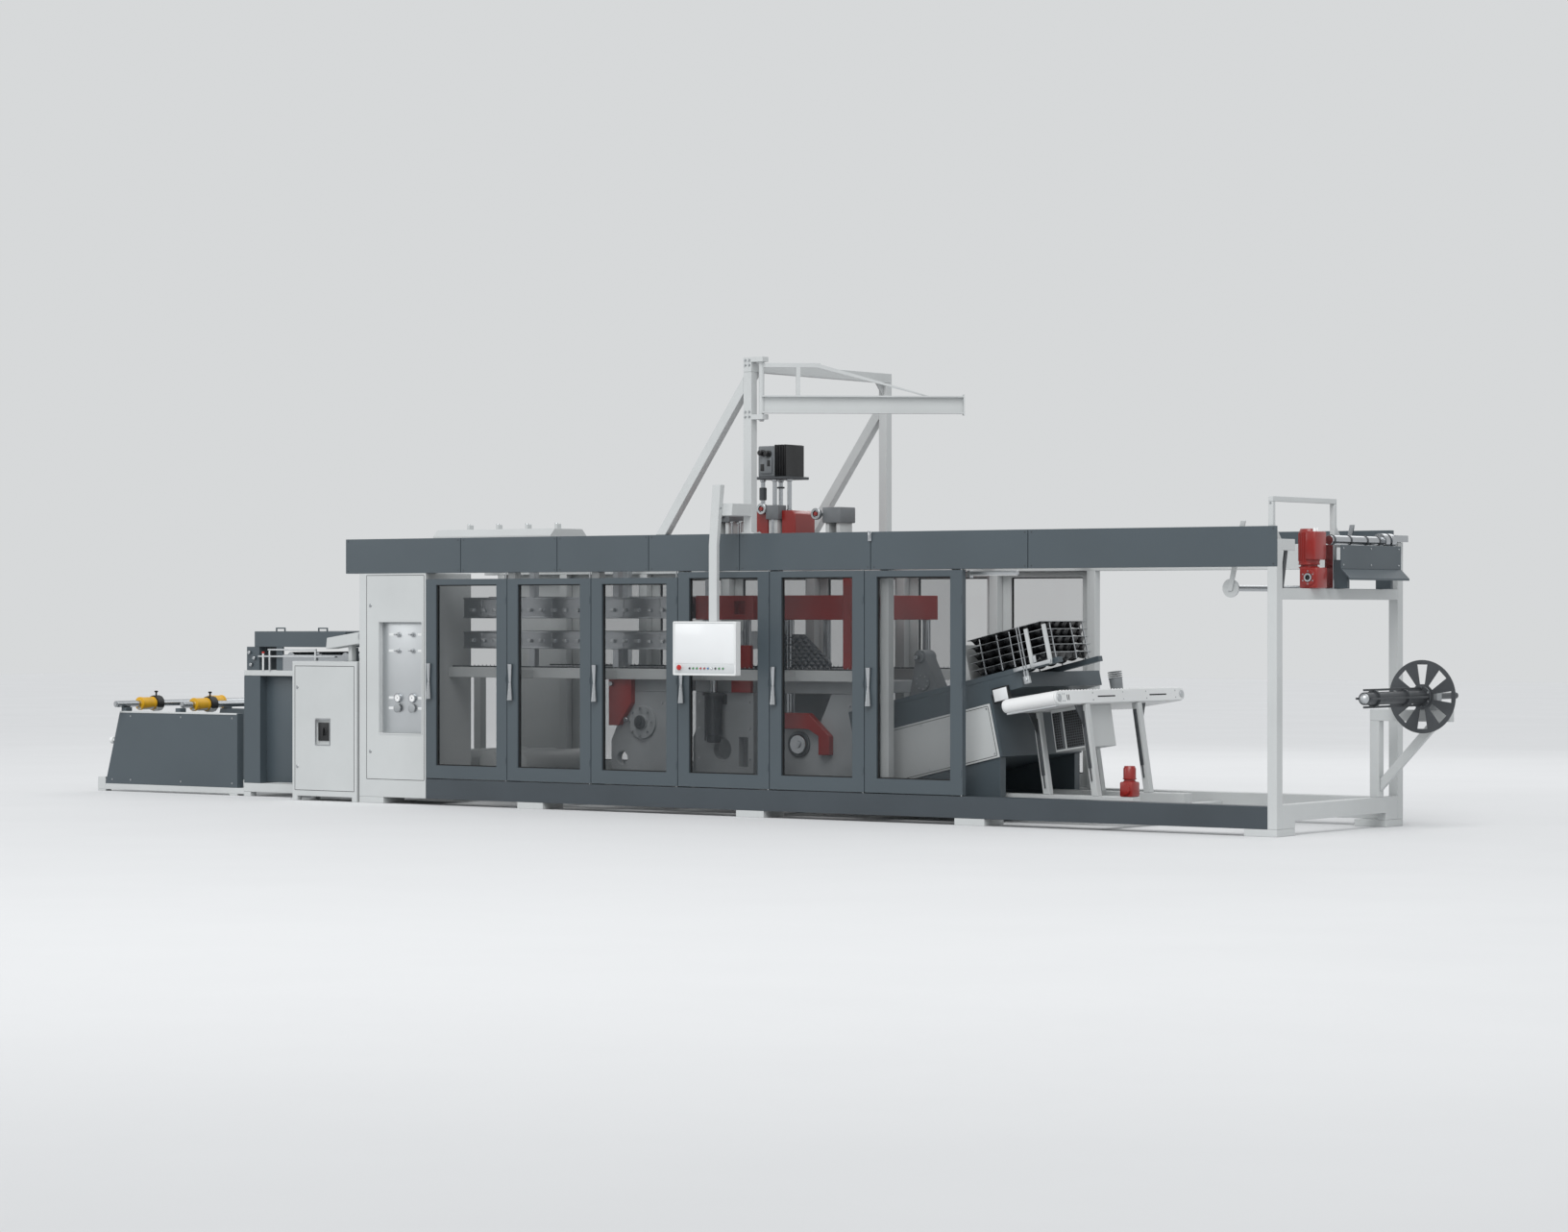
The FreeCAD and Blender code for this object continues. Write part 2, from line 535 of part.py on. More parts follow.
def turned(name, at, stations, along="Z"):
    """A turned piece with flats: its radius at given distances from its start, along one axis."""
    number = "XYZ".index(along)
    rings = []
    for index, (far, radius) in enumerate(stations):
        ring = DOC.addObject("Part::RegularPolygon", f"{name}Ring{index}")
        bind(ring, "Polygon", "round_sides")
        bind(ring, "Circumradius", radius)
        spot = [f"{text} + {far}" if axis == number else text for axis, text in enumerate(at)]
        rings.append(place(ring, spot, *TURNS[along]))
    made = DOC.addObject("Part::Loft", name)
    made.Sections = rings
    made.Solid = True
    made.Ruled = True
    return made


def cut(name, base, tool):
    """One solid less another."""
    made = DOC.addObject("Part::Cut", name)
    made.Base = base
    made.Tool = tool
    return made


def fuse(name, pieces):
    """Solids that touch, joined as one."""
    made = DOC.addObject("Part::MultiFuse", name)
    made.Shapes = pieces
    made.Refine = True
    return made


def group(name, pieces):
    """Solids that don't touch, kept together."""
    made = DOC.addObject("Part::Compound", name)
    made.Links = pieces
    return made


def node(label, pieces):
    """Keep a sub-part under its own label."""
    made = pieces if not isinstance(pieces, list) else group(label, pieces)
    made.Label = label
    NODES.append(made)
    return made


def origin_plane(body, role):
    """One of a body's own origin planes."""
    return next(plane for plane in body.Origin.OriginFeatures if plane.Role == role)


def outline(body, role, points):
    """A closed outline through corners that are formulas of the sizes, on an origin plane."""
    sketch = body.newObject("Sketcher::SketchObject", body.Name + "Outline")
    sketch.AttachmentSupport = (origin_plane(body, role), [""])
    sketch.MapMode = "FlatFace"
    corners = [FreeCAD.Vector(*(DOC.Sizes.evalExpression(formula(text)) for text in point), 0)
               for point in points]
    last = len(points) - 1
    for index, corner in enumerate(corners):
        following = corners[0 if index == last else index + 1]
        sketch.addGeometry(Part.LineSegment(corner, following), False)
    for index in range(len(points)):
        following = 0 if index == last else index + 1
        sketch.addConstraint(Sketcher.Constraint("Coincident", index, 2, following, 1))
    for index, point in enumerate(points):
        for kind, text, value in zip(("DistanceX", "DistanceY"), point, corners[index]):
            number = sketch.addConstraint(Sketcher.Constraint(kind, -1, 1, index, 1, value))
            bind(sketch, f"Constraints[{number}]", text)
    return sketch


def plate(name, role, points, at, thick):
    """A flat plate: an outline on one plane, padded along the plane's positive axis."""
    body = DOC.addObject("PartDesign::Body", name)
    pad = body.newObject("PartDesign::Pad", name + "Pad")
    pad.Profile = outline(body, role, points)
    bind(pad, "Length", thick)
    pad.Reversed = role == "XZ_Plane"
    body.Tip = pad
    return place(body, at)


LEFT_X = "(end_x - body_len)"
DOORS_X = "(end_x - body_len + column_wide)"
REAR_Y = "(front_y + body_deep)"
POST_Y = "(front_y + leaf_thick + leaf_back)"
REAR_POST_Y = "(front_y + body_deep - leaf_thick - leaf_back - tube)"
ROOF_TOP = "(roof_z + beam_tall)"
BASE_TOP = "(foot_tall + cross_tall)"


def door_edge(index):
    """The left edge of door number index, counted from 0, or the open bay's for 6."""
    narrow = min(index, 3)
    return f"({DOORS_X} + {narrow} * door_narrow + {index - narrow} * door_wide)"


BAY_X = door_edge(6)
FRONT_SHIFTS = {5: "post_fifth", 6: "-tube - post_bay"}


def front_post(index):
    """The left side of the front post behind door edge number index."""
    return f"({door_edge(index)} + {FRONT_SHIFTS.get(index, '-tube / 2')})"


def rear_post(index):
    """The left side of the rear post behind door edge number index."""
    return f"({door_edge(index)} - {'post_rear_bay' if index == 6 else 'tube / 2'})"


# The base: feet, plinth rails and the members between them
def build_base():
    lefts = [LEFT_X, f"({DOORS_X} + foot_two)", f"({DOORS_X} + foot_three)", f"({BAY_X} - tube)",
             "(end_x - foot_side)"]
    feet = []
    for index, left in enumerate(lefts):
        for side, low in (("Front", "front_y"), ("Rear", f"{REAR_Y} - foot_side")):
            feet.append(box(f"Foot{side}{index}", (left, low, "0"),
                            ("foot_side", "foot_side", "foot_tall")))
    node("floor_feet", feet)
    rail_tall = "plinth_top - foot_tall"
    front = box("PlinthFront", (DOORS_X, "front_y", "foot_tall"),
                ("body_len - column_wide - tube", "plinth_deep", rail_tall))
    rear = box("PlinthRear", (LEFT_X, f"{REAR_Y} - plinth_deep", "foot_tall"),
               ("body_len - tube", "plinth_deep", rail_tall))
    node("plinth_rails", [front, rear])
    members = []
    for index, left in enumerate(lefts[:4]):
        start = "front_y + column_deep" if index == 0 else "front_y + plinth_deep"
        members.append(box(f"BaseMember{index}", (left, start, "foot_tall"),
                           ("tube", f"{REAR_Y} - plinth_deep - ({start})", "cross_tall")))
    members.append(box("BaseMemberCart", (f"{BAY_X} + cart_reach - tube", "front_y + plinth_deep", "foot_tall"),
                       ("tube", "body_deep - 2 * plinth_deep", "cross_tall")))
    for index, back in enumerate(("tank_y + bearer_front", "tank_y + bearer_rear")):
        members.append(box(f"TankBearer{index}",
                           (f"{LEFT_X} + tube + weld_gap", f"front_y + {back}", "foot_tall"),
                           ("column_wide + foot_two - tube - 2 * weld_gap", "tube", "cross_tall")))
    far = "(body_deep - press_y - press_plate)"
    for side, back in (("Front", "press_y"), ("Rear", far)):
        for start, stop in ((1, 2), (2, 3)):
            members.append(box(f"PressBearer{side}{start}",
                               (f"{lefts[start]} + tube + weld_gap", f"front_y + {back}", "foot_tall"),
                               (f"{lefts[stop]} - {lefts[start]} - tube - 2 * weld_gap",
                                "press_plate", "cross_tall")))
    node("base_cross_members", members)


# The posts behind the doors, the top beams and the roof members
def build_posts():
    fronts = []
    rears = []
    post_tall = "roof_z - plinth_top"
    for index in range(1, 7):
        fronts.append(box(f"PostFront{index}", (front_post(index), POST_Y, "plinth_top"),
                          ("tube", "tube", post_tall)))
    rear_lefts = [LEFT_X] + [rear_post(index) for index in range(0, 7)]
    for index, left in enumerate(rear_lefts):
        rears.append(box(f"PostRear{index}", (left, REAR_POST_Y, "plinth_top"),
                         ("tube", "tube", post_tall)))
    node("front_posts", fronts)
    node("rear_posts", rears)
    beams = []
    for side, low in (("Front", POST_Y), ("Rear", REAR_POST_Y)):
        beams.append(box(f"TopBeam{side}", (f"{LEFT_X} - fascia_over", low, "roof_z"),
                         ("body_len + fascia_over - tube", "tube", "beam_tall")))
    node("top_beams", beams)
    members = []
    for index, left in enumerate([LEFT_X] + [rear_post(number) for number in range(1, 7)]):
        members.append(box(f"RoofMember{index}",
                           (left, f"{POST_Y} + tube", f"{ROOF_TOP} - roof_tube"),
                           ("tube", f"{REAR_POST_Y} - {POST_Y} - tube", "roof_tube")))
    node("roof_cross_members", members)


# The fascia: one row of dark panels at the front, with a thin end over the post, and one at the back
def build_fascias():
    seams = [f"{LEFT_X} - fascia_over"]
    for seam in ("seam_one", "seam_two", "seam_three", "seam_four", "seam_five"):
        seams.append(f"({DOORS_X} + {seam})")
    seams += [f"({BAY_X} + seam_six)", "(end_x - tube + fascia_seam)"]
    for side, low in (("front", "front_y"), ("rear", f"{REAR_Y} - leaf_thick - leaf_back")):
        panels = []
        for index in range(7):
            panels.append(box(f"Fascia{side}{index}", (seams[index], low, "roof_z"),
                              (f"{seams[index + 1]} - ({seams[index]}) - fascia_seam",
                               "leaf_thick + leaf_back", "fascia_tall")))
        if side == "front":
            sheet = box("FasciaEnd", ("end_x - tube - fascia_sheet", "front_y", "roof_z"),
                        ("tube + fascia_sheet", "fascia_sheet", "fascia_tall"))
            panels.append(fuse("FasciaLast", [panels.pop(), sheet]))
        node(f"fascia_{side}", panels)


# The control column with the instrument board in its recess
def build_column():
    shell = box("ColumnShell", (LEFT_X, "front_y", "foot_tall"),
                ("column_wide", "column_deep", "roof_z - foot_tall"))
    recess = box("ColumnRecess", (f"{LEFT_X} + recess_x", "front_y - recess_deep", "recess_z"),
                 ("recess_wide", "recess_deep * 2", "recess_tall"))
    node("control_column", cut("ColumnCut", shell, recess))
    face = "front_y + recess_deep - board_thick"
    pieces = [box("Board", (f"{LEFT_X} + recess_x", face, "recess_z"),
                  ("recess_wide", "board_thick", "recess_tall"))]
    rows = (("valve_top", "knob_r"), ("valve_low", "knob_r"), ("gauge_top", "gauge_r"),
            ("gauge_low", "gauge_r"))
    for column in range(2):
        across = f"{LEFT_X} + recess_x + knob_first + {column} * knob_pitch"
        for height, radius in rows:
            at = (across, f"{face} - knob_tall - weld_gap", f"recess_z + {height}")
            pieces.append(prism(f"Knob{column}{height}", at, radius, "knob_tall", "Y"))
    node("instrument_board", pieces)


# One guard door: a welded leaf with its turned handle, and its pane
def build_door(number):
    index = number - 1
    left = f"({door_edge(index)} + leaf_gap / 2)"
    wide = f"({'door_narrow' if number <= 3 else 'door_wide'} - leaf_gap)"
    low = "(plinth_top + leaf_low)"
    top = "(roof_z - header_gap - leaf_low)" if number <= 3 else "(roof_z - leaf_low)"
    slab = box(f"Leaf{number}", (left, "front_y", low), (wide, "leaf_thick", f"{top} - {low}"))
    window = box(f"Window{number}", (f"{left} + stile", "front_y - 1", f"{low} + rail_low"),
                 (f"{wide} - 2 * stile", "leaf_thick + 2", f"{top} - {low} - rail_low - rail_top"))
    leaf = cut(f"LeafFrame{number}", slab, window)
    grip = turned(f"Grip{number}", (f"{left} + handle_in", "front_y - handle_out", "handle_z"),
                  (("0", "handle_r"), ("handle_tall / 2", "handle_waist"), ("handle_tall", "handle_head")))
    node(f"door_{number}", fuse(f"Door{number}", [leaf, grip]))
    pane = box(f"Pane{number}",
               (f"{left} + stile", "front_y + (leaf_thick - glass_thick) / 2", f"{low} + rail_low"),
               (f"{wide} - 2 * stile", "glass_thick", f"{top} - {low} - rail_low - rail_top"))
    node(f"door_{number}_glass", pane)


# The pivot pins that carry the doors, under and over each leaf's hinge side
def build_hinges():
    pins = []
    for number in range(1, 7):
        across = f"{door_edge(number)} - leaf_gap / 2 - hinge_in"
        pins.append(prism(f"PinLow{number}", (across, "front_y + hinge_back", "plinth_top"),
                          "hinge_r", "leaf_low - hinge_play"))
        gap = "(leaf_low + header_gap)" if number <= 3 else "leaf_low"
        pins.append(prism(f"PinTop{number}",
                          (across, "front_y + hinge_back", f"roof_z - {gap} + hinge_play"),
                          "hinge_r", f"{gap} - hinge_play"))
    node("door_hinge_pins", pins)


# The fixed guards along the back, which repeat the doors
def build_rear_guards():
    frames = []
    panes = []
    low = "plinth_top"
    back = f"({REAR_Y} - leaf_thick)"
    for index in range(0, 6):
        left = f"({door_edge(index)} + leaf_gap / 2)"
        wide = f"({'door_narrow' if index < 3 else 'door_wide'} - leaf_gap)"
        slab = box(f"Guard{index}", (left, back, low), (wide, "leaf_thick", "roof_z - plinth_top"))
        sizes = (f"{wide} - 2 * stile", "leaf_thick + 2", "roof_z - plinth_top - rail_low - rail_top")
        hole = box(f"GuardHole{index}", (f"{left} + stile", f"{back} - 1", f"{low} + rail_low"), sizes)
        frames.append(cut(f"GuardFrame{index}", slab, hole))
        panes.append(box(f"GuardPane{index}",
                         (f"{left} + stile", f"{back} + (leaf_thick - glass_thick) / 2",
                          f"{low} + rail_low"), (sizes[0], "glass_thick", sizes[2])))
    frames.append(box("GuardBlind", (f"{LEFT_X} + leaf_gap / 2", back, low),
                      ("column_wide - leaf_gap", "leaf_thick", "roof_z - plinth_top")))
    node("rear_guards", frames)
    node("rear_glass", panes)


# The open tube frame at the right end
def build_end_frame():
    left = "(end_x - tube)"
    rear = f"({REAR_Y} - end_post_deep)"
    inner = "(front_y + end_post_deep + weld_gap)"
    span = "(body_deep - 2 * end_post_deep - 2 * weld_gap)"
    back = "fascia_sheet + weld_gap"
    pieces = [plate("EndPostFront", "YZ_Plane",
                    [("0", "foot_tall"), ("end_post_deep", "foot_tall"), ("end_post_deep", "end_post_top"),
                     (back, "end_post_top"), (back, "roof_z"), ("0", "roof_z")],
                    (left, "front_y", "0"), "tube")]
    pieces.append(box("EndPostRear", (left, rear, "foot_tall"),
                      ("tube", "end_post_deep", "end_post_top - foot_tall")))
    pieces.append(box("EndBeam", (left, inner, "end_beam_top - end_beam_tall"),
                      ("tube", span, "end_beam_tall")))
    base = box("EndBaseBar", (left, inner, "foot_tall"), ("tube", span, "end_base_top - foot_tall"))
    arch = box("EndBaseArch", (f"{left} - 1", "front_y + foot_side", "foot_tall - 1"),
               ("tube + 2", "body_deep - 2 * foot_side", "foot_tall + 1"))
    pieces.append(cut("EndBase", base, arch))
    pieces.append(box("StubFront", (left, inner, "end_post_top - stub_tall"),
                      ("tube", "stub_front", "stub_tall")))
    node("end_frame", pieces)


# The hoop over the right end, its rail to the rear post and a gusset behind each leg
def build_hoop():
    front = "(front_y + hoop_back + weld_gap)"
    rear = "(front_y + hoop_rear)"
    left = "(end_x - tube)"
    bar_z = "hoop_top - hoop_tube"
    behind = f"{rear} + hoop_tube + weld_gap"
    pieces = [box("HoopLegFront", (left, front, "end_post_top"),
                  ("hoop_tube", "hoop_tube", f"{bar_z} - weld_gap - end_post_top"))]
    pieces.append(box("HoopLegRear", (left, rear, "end_beam_top"),
                      ("hoop_tube", "hoop_tube", f"{bar_z} - weld_gap - end_beam_top")))
    pieces.append(box("HoopBar", (left, front, bar_z),
                      ("hoop_tube", f"{rear} + hoop_tube - {front}", "hoop_tube")))
    pieces.append(box("HoopRail", (left, behind, "end_post_top - hoop_rail"),
                      ("hoop_tube", f"{REAR_Y} - end_post_deep - weld_gap - ({behind})", "hoop_rail")))
    for side, start in (("Front", f"{front} + hoop_tube + weld_gap"), ("Rear", behind)):
        pieces.append(plate(f"HoopGusset{side}", "YZ_Plane",
                            [("0", "0"), ("gusset_reach", "0"), ("0", "gusset_tall")],
                            (f"{left} + (hoop_tube - gusset_thick) / 2", start, "end_post_top + weld_gap"),
                            "gusset_thick"))
    node("hoop_frame", pieces)


# The gantry over the roof: two posts on the fascia, a beam with corner gussets, and two braces
def build_gantry():
    left = f"({DOORS_X} + gantry_right - tube)"
    roof = "(roof_z + fascia_tall)"
    rear = f"({REAR_Y} - tube)"
    pieces = []
    slope = f"((gantry_top - brace_drop - {roof}) / brace_run)"
    for side, low, drop in (("Front", "front_y", "brace_drop"), ("Rear", rear, "(brace_drop + brace_lower)")):
        run = f"((gantry_top - {drop} - {roof}) / {slope})"
        pieces.append(box(f"GantryPost{side}", (left, low, roof),
                          ("tube", "tube", f"gantry_top - tube - weld_gap - {roof}")))
        pieces.append(plate(f"GantryBrace{side}", "XZ_Plane",
                            [("-weld_gap", f"-{drop}"), ("-weld_gap", f"-{drop} - brace_rise"),
                             (f"-{run} + brace_rise / {slope}", f"{roof} - gantry_top"),
                             (f"-{run}", f"{roof} - gantry_top")],
                            (left, low, "gantry_top"), "tube"))
    pieces.append(box("GantryBeam", (left, "front_y", "gantry_top - tube"), ("tube", "body_deep", "tube")))
    corners = (("Front", "front_y + tube + weld_gap", ""), ("Rear", f"{rear} - weld_gap", "-"))
    for side, start, sign in corners:
        pieces.append(plate(f"GantryGusset{side}", "YZ_Plane",
                            [("0", "0"), (f"{sign}gantry_gusset", "0"), ("0", "-gantry_gusset")],
                            (f"{left} + (tube - gusset_thick) / 2", start, "gantry_top - tube - weld_gap"),
                            "gusset_thick"))
    node("gantry_frame", pieces)


PIVOT_X = f"({DOORS_X} + gantry_right + jib_out)"
PIVOT_Y = "(front_y + tube / 2)"
JIB_LOW = "(gantry_top - jib_drop)"


# The jib crane: two brackets on the gantry post, and an arm that turns between them
def build_jib():
    brackets = []
    gantry = f"({DOORS_X} + gantry_right)"
    ears = (("JibEarLow", gantry, f"{JIB_LOW} - ear_play - ear_thick"),
            ("JibEarTop", f"{gantry} - tube", "gantry_top"))
    for name, left, low in ears:
        ear = box(name, (left, f"{PIVOT_Y} - jib_flange / 2", low),
                  (f"{PIVOT_X} + jib_flange / 2 - ({left})", "jib_flange", "ear_thick"))
        hole = rod(name + "Hole", (PIVOT_X, PIVOT_Y, f"{low} - 1"), "jib_pin + hinge_play",
                   "ear_thick + 2")
        brackets.append(cut(name + "Cut", ear, hole))
    node("jib_brackets", brackets)
    reach = "jib_len"
    tie_z = "(jib_drop - ear_play - jib_tie)"
    mast = rod("JibMast", ("0", "0", "-ear_play - ear_thick"), "jib_pin",
               "jib_drop + ear_play + 2 * ear_thick")
    lower = box("JibFlangeLow", ("0", "-jib_flange / 2", "0"), (reach, "jib_flange", "jib_plate"))
    upper = box("JibFlangeTop", ("0", "-jib_flange / 2", "jib_tall - jib_plate"),
                (reach, "jib_flange", "jib_plate"))
    web = box("JibWeb", ("0", "-jib_plate / 2", "0"), (reach, "jib_plate", "jib_tall"))
    end = box("JibEnd", (reach, "-jib_flange / 2", "-jib_plate"),
              ("jib_plate", "jib_flange", "jib_tall + 2 * jib_plate"))
    tie = box("JibTie", ("0", "-jib_tie / 2", tie_z), ("jib_tie_len", "jib_tie", "jib_tie"))
    slope = plate("JibSlope", "XZ_Plane",
                  [("jib_tie_len - jib_tie", f"{tie_z} + jib_tie"), ("jib_tie_len - jib_tie", tie_z),
                   ("jib_tie_end - jib_tie", "jib_tall"), ("jib_tie_end", "jib_tall")],
                  ("0", "-jib_tie / 2", "0"), "jib_tie")
    strut = box("JibStrut", ("jib_strut_x", "-jib_tie / 2", "jib_tall"),
                ("jib_tie", "jib_tie", f"{tie_z} - jib_tall"))
    arm = fuse("JibArm", [mast, lower, upper, web, end, tie, slope, strut])
    place(arm, (PIVOT_X, PIVOT_Y, JIB_LOW), Z_AXIS, "jib_turn")
    node("jib_arm", arm)


POD_Y = "(front_y - pod_y)"


# The boom and hanging arm, and the operator panel that swivels under them
def build_pod():
    left = f"({DOORS_X} + arm_x)"
    arm_y = f"({POD_Y} + (pod_deep - arm_deep) / 2)"
    low = "pod_low + pod_tall + arm_play"
    arm = plate("HangingArm", "YZ_Plane",
                [("0", low), ("arm_deep", low), ("arm_deep", "arm_bend"),
                 ("arm_deep + arm_lean", "arm_top"), ("arm_deep + arm_lean - arm_head", "arm_top"),
                 ("0", "arm_bend")], (left, arm_y, "0"), "arm_wide")
    reach = f"(front_y - weld_gap - {arm_y})"
    lean = "(arm_lean / (arm_top - arm_bend))"
    low_y = f"arm_deep + weld_gap + (boom_z - arm_bend) * {lean}"
    top_y = f"arm_deep + weld_gap + (boom_z + boom_tall - arm_bend) * {lean}"
    boom = plate("Boom", "YZ_Plane",
                 [(low_y, "boom_z"), (reach, "boom_z"), (reach, "boom_z + boom_tall"),
                  (top_y, "boom_z + boom_tall")], (left, arm_y, "0"), "gantry_right - arm_x")
    node("panel_arm", [arm, boom])
    pod = f"({DOORS_X} + pod_x)"
    shell = box("PodShell", (pod, POD_Y, "pod_low"), ("pod_wide", "pod_deep", "pod_tall"))
    stop = prism("PodStop", (f"{pod} + stop_x", f"{POD_Y} - stop_out", "pod_low + stop_z"),
                 "stop_r", "stop_out", "Y")
    node("operator_panel", fuse("Pod", [shell, stop]))


# The scrap reel and the bracket that carries it
def build_reel():
    post_y = "(front_y + reel_post_y)"
    arm_low = "(reel_arm_top - reel_arm_tall)"
    post = box("ReelPost", ("end_x - tube", post_y, "end_base_top"),
               ("tube", "tube", f"{arm_low} - end_base_top - weld_gap"))
    arm = box("ReelArm", ("end_x - tube", post_y, arm_low), ("tube + reel_arm_len", "tube", "reel_arm_tall"))
    strut = plate("ReelStrut", "XZ_Plane",
                  [("weld_gap", "strut_low"), ("strut_reach", "reel_arm_top - reel_arm_tall - weld_gap"),
                   ("strut_reach - strut_wide", "reel_arm_top - reel_arm_tall - weld_gap"),
                   ("weld_gap", "strut_low + strut_wide")],
                  ("end_x", f"{post_y} + tube / 4", "0"), "tube / 2")
    node("reel_bracket", [post, arm, strut])
    block = box("ReelBlock", ("end_x + reel_x - bearing_wide / 2", post_y, "reel_arm_top"),
                ("bearing_wide", "tube", "reel_z - reel_arm_top + reel_shaft_r * 2"))
    bore = rod("ReelBore", ("end_x + reel_x", f"{post_y} - 1", "reel_z"),
               "reel_shaft_r + reel_play", "tube + 2", "Y")
    node("reel_bearing", cut("ReelBearing", block, bore))
    disc = DOC.addObject("PartDesign::Body", "ReelDisc")
    pad = disc.newObject("PartDesign::Pad", "DiscPad")
    circle = disc.newObject("Sketcher::SketchObject", "DiscCircle")
    circle.AttachmentSupport = (origin_plane(disc, "XZ_Plane"), [""])
    circle.MapMode = "FlatFace"
    circle.addGeometry(Part.Circle(FreeCAD.Vector(), Z_AXIS, size("reel_r")), False)
    circle.addConstraint(Sketcher.Constraint("Coincident", 0, 3, -1, 1))
    bind(circle, f"Constraints[{circle.addConstraint(Sketcher.Constraint('Radius', 0, size('reel_r')))}]",
         "reel_r")
    pad.Profile = circle
    pad.Reversed = True
    bind(pad, "Length", "reel_thick")
    slot = disc.newObject("PartDesign::Pocket", "DiscSlot")
    slot.Profile = outline(disc, "XZ_Plane",
                           [("slot_near", "-slot_narrow"), ("slot_far", "-slot_wide"),
                            ("slot_far", "slot_wide"), ("slot_near", "slot_narrow")])
    slot.Type = "ThroughAll"
    slot.Midplane = True
    ring = disc.newObject("PartDesign::PolarPattern", "DiscSlots")
    ring.Originals = [slot]
    ring.Axis = (origin_plane(disc, "Y_Axis"), [""])
    ring.Angle = 360
    bind(ring, "Occurrences", "slot_count")
    disc.Tip = ring
    place(disc, ("0", "0", "0"))
    core = rod("ReelCore", ("0", "-core_len", "0"), "core_r", "core_len", "Y")
    shaft = rod("ReelShaft", ("0", "reel_thick", "0"), "reel_shaft_r",
                "reel_shaft_end - reel_disc_y - reel_thick", "Y")
    hub = rod("ReelHub", ("0", "reel_thick", "0"), "core_r", "reel_hub", "Y")
    pieces = [disc, core, shaft, hub]
    for index, (across, up) in enumerate(((1, 0), (0, 1), (-1, 0), (0, -1))):
        pieces.append(box(f"ReelBar{index}",
                          (f"{across} * (bar_orbit - bar_side / 2) - bar_side / 2 - {abs(up)} * 2",
                           "-core_len", f"{up} * (bar_orbit - bar_side / 2) - bar_side / 2"),
                          ("bar_side", "core_len", "bar_side")))
    for index in range(2):
        pieces.append(rod(f"ReelCollar{index}", ("0", f"-core_len * {0.35 + 0.5 * index}", "0"),
                          "bar_orbit - bar_side / 2", "reel_collar", "Y"))
    reel = fuse("Reel", pieces)
    place(reel, ("end_x + reel_x", "front_y + reel_disc_y", "reel_z"))
    node("scrap_reel", reel)


# The winder's gearmotor with its upright motor
def build_winder_motor():
    middle = "(end_x - motor_in)"
    axis_y = "(front_y + gear_y + gear_deep / 2)"
    gear_top = "(end_beam_top + gear_tall)"
    pieces = [box("WinderGear", ("end_x - tube", "front_y + gear_y", "end_beam_top"),
                  ("gear_side", "gear_deep", "gear_tall"))]
    pieces.append(prism("WinderHub", ("end_x - tube + gear_side / 2", "front_y + gear_y - hub_out",
                                      "end_beam_top + hub_z"), "hub_r", "hub_out", "Y"))
    pieces.append(prism("WinderNeck", (middle, axis_y, gear_top), "neck_r", "neck_tall"))
    pieces.append(rod("WinderBarrel", (middle, axis_y, f"{gear_top} + neck_tall"), "motor_r",
                      "motor_tall - 2 * neck_tall"))
    pieces.append(prism("WinderCap", (middle, axis_y, f"{gear_top} + motor_tall - neck_tall"), "neck_r",
                        "neck_tall"))
    pieces.append(box("WinderLid", (middle, f"{axis_y} - lid_deep / 2", f"{gear_top} + lid_z"),
                      ("motor_r + lid_out", "lid_deep", "lid_tall")))
    node("winder_gearmotor", fuse("Winder", pieces))


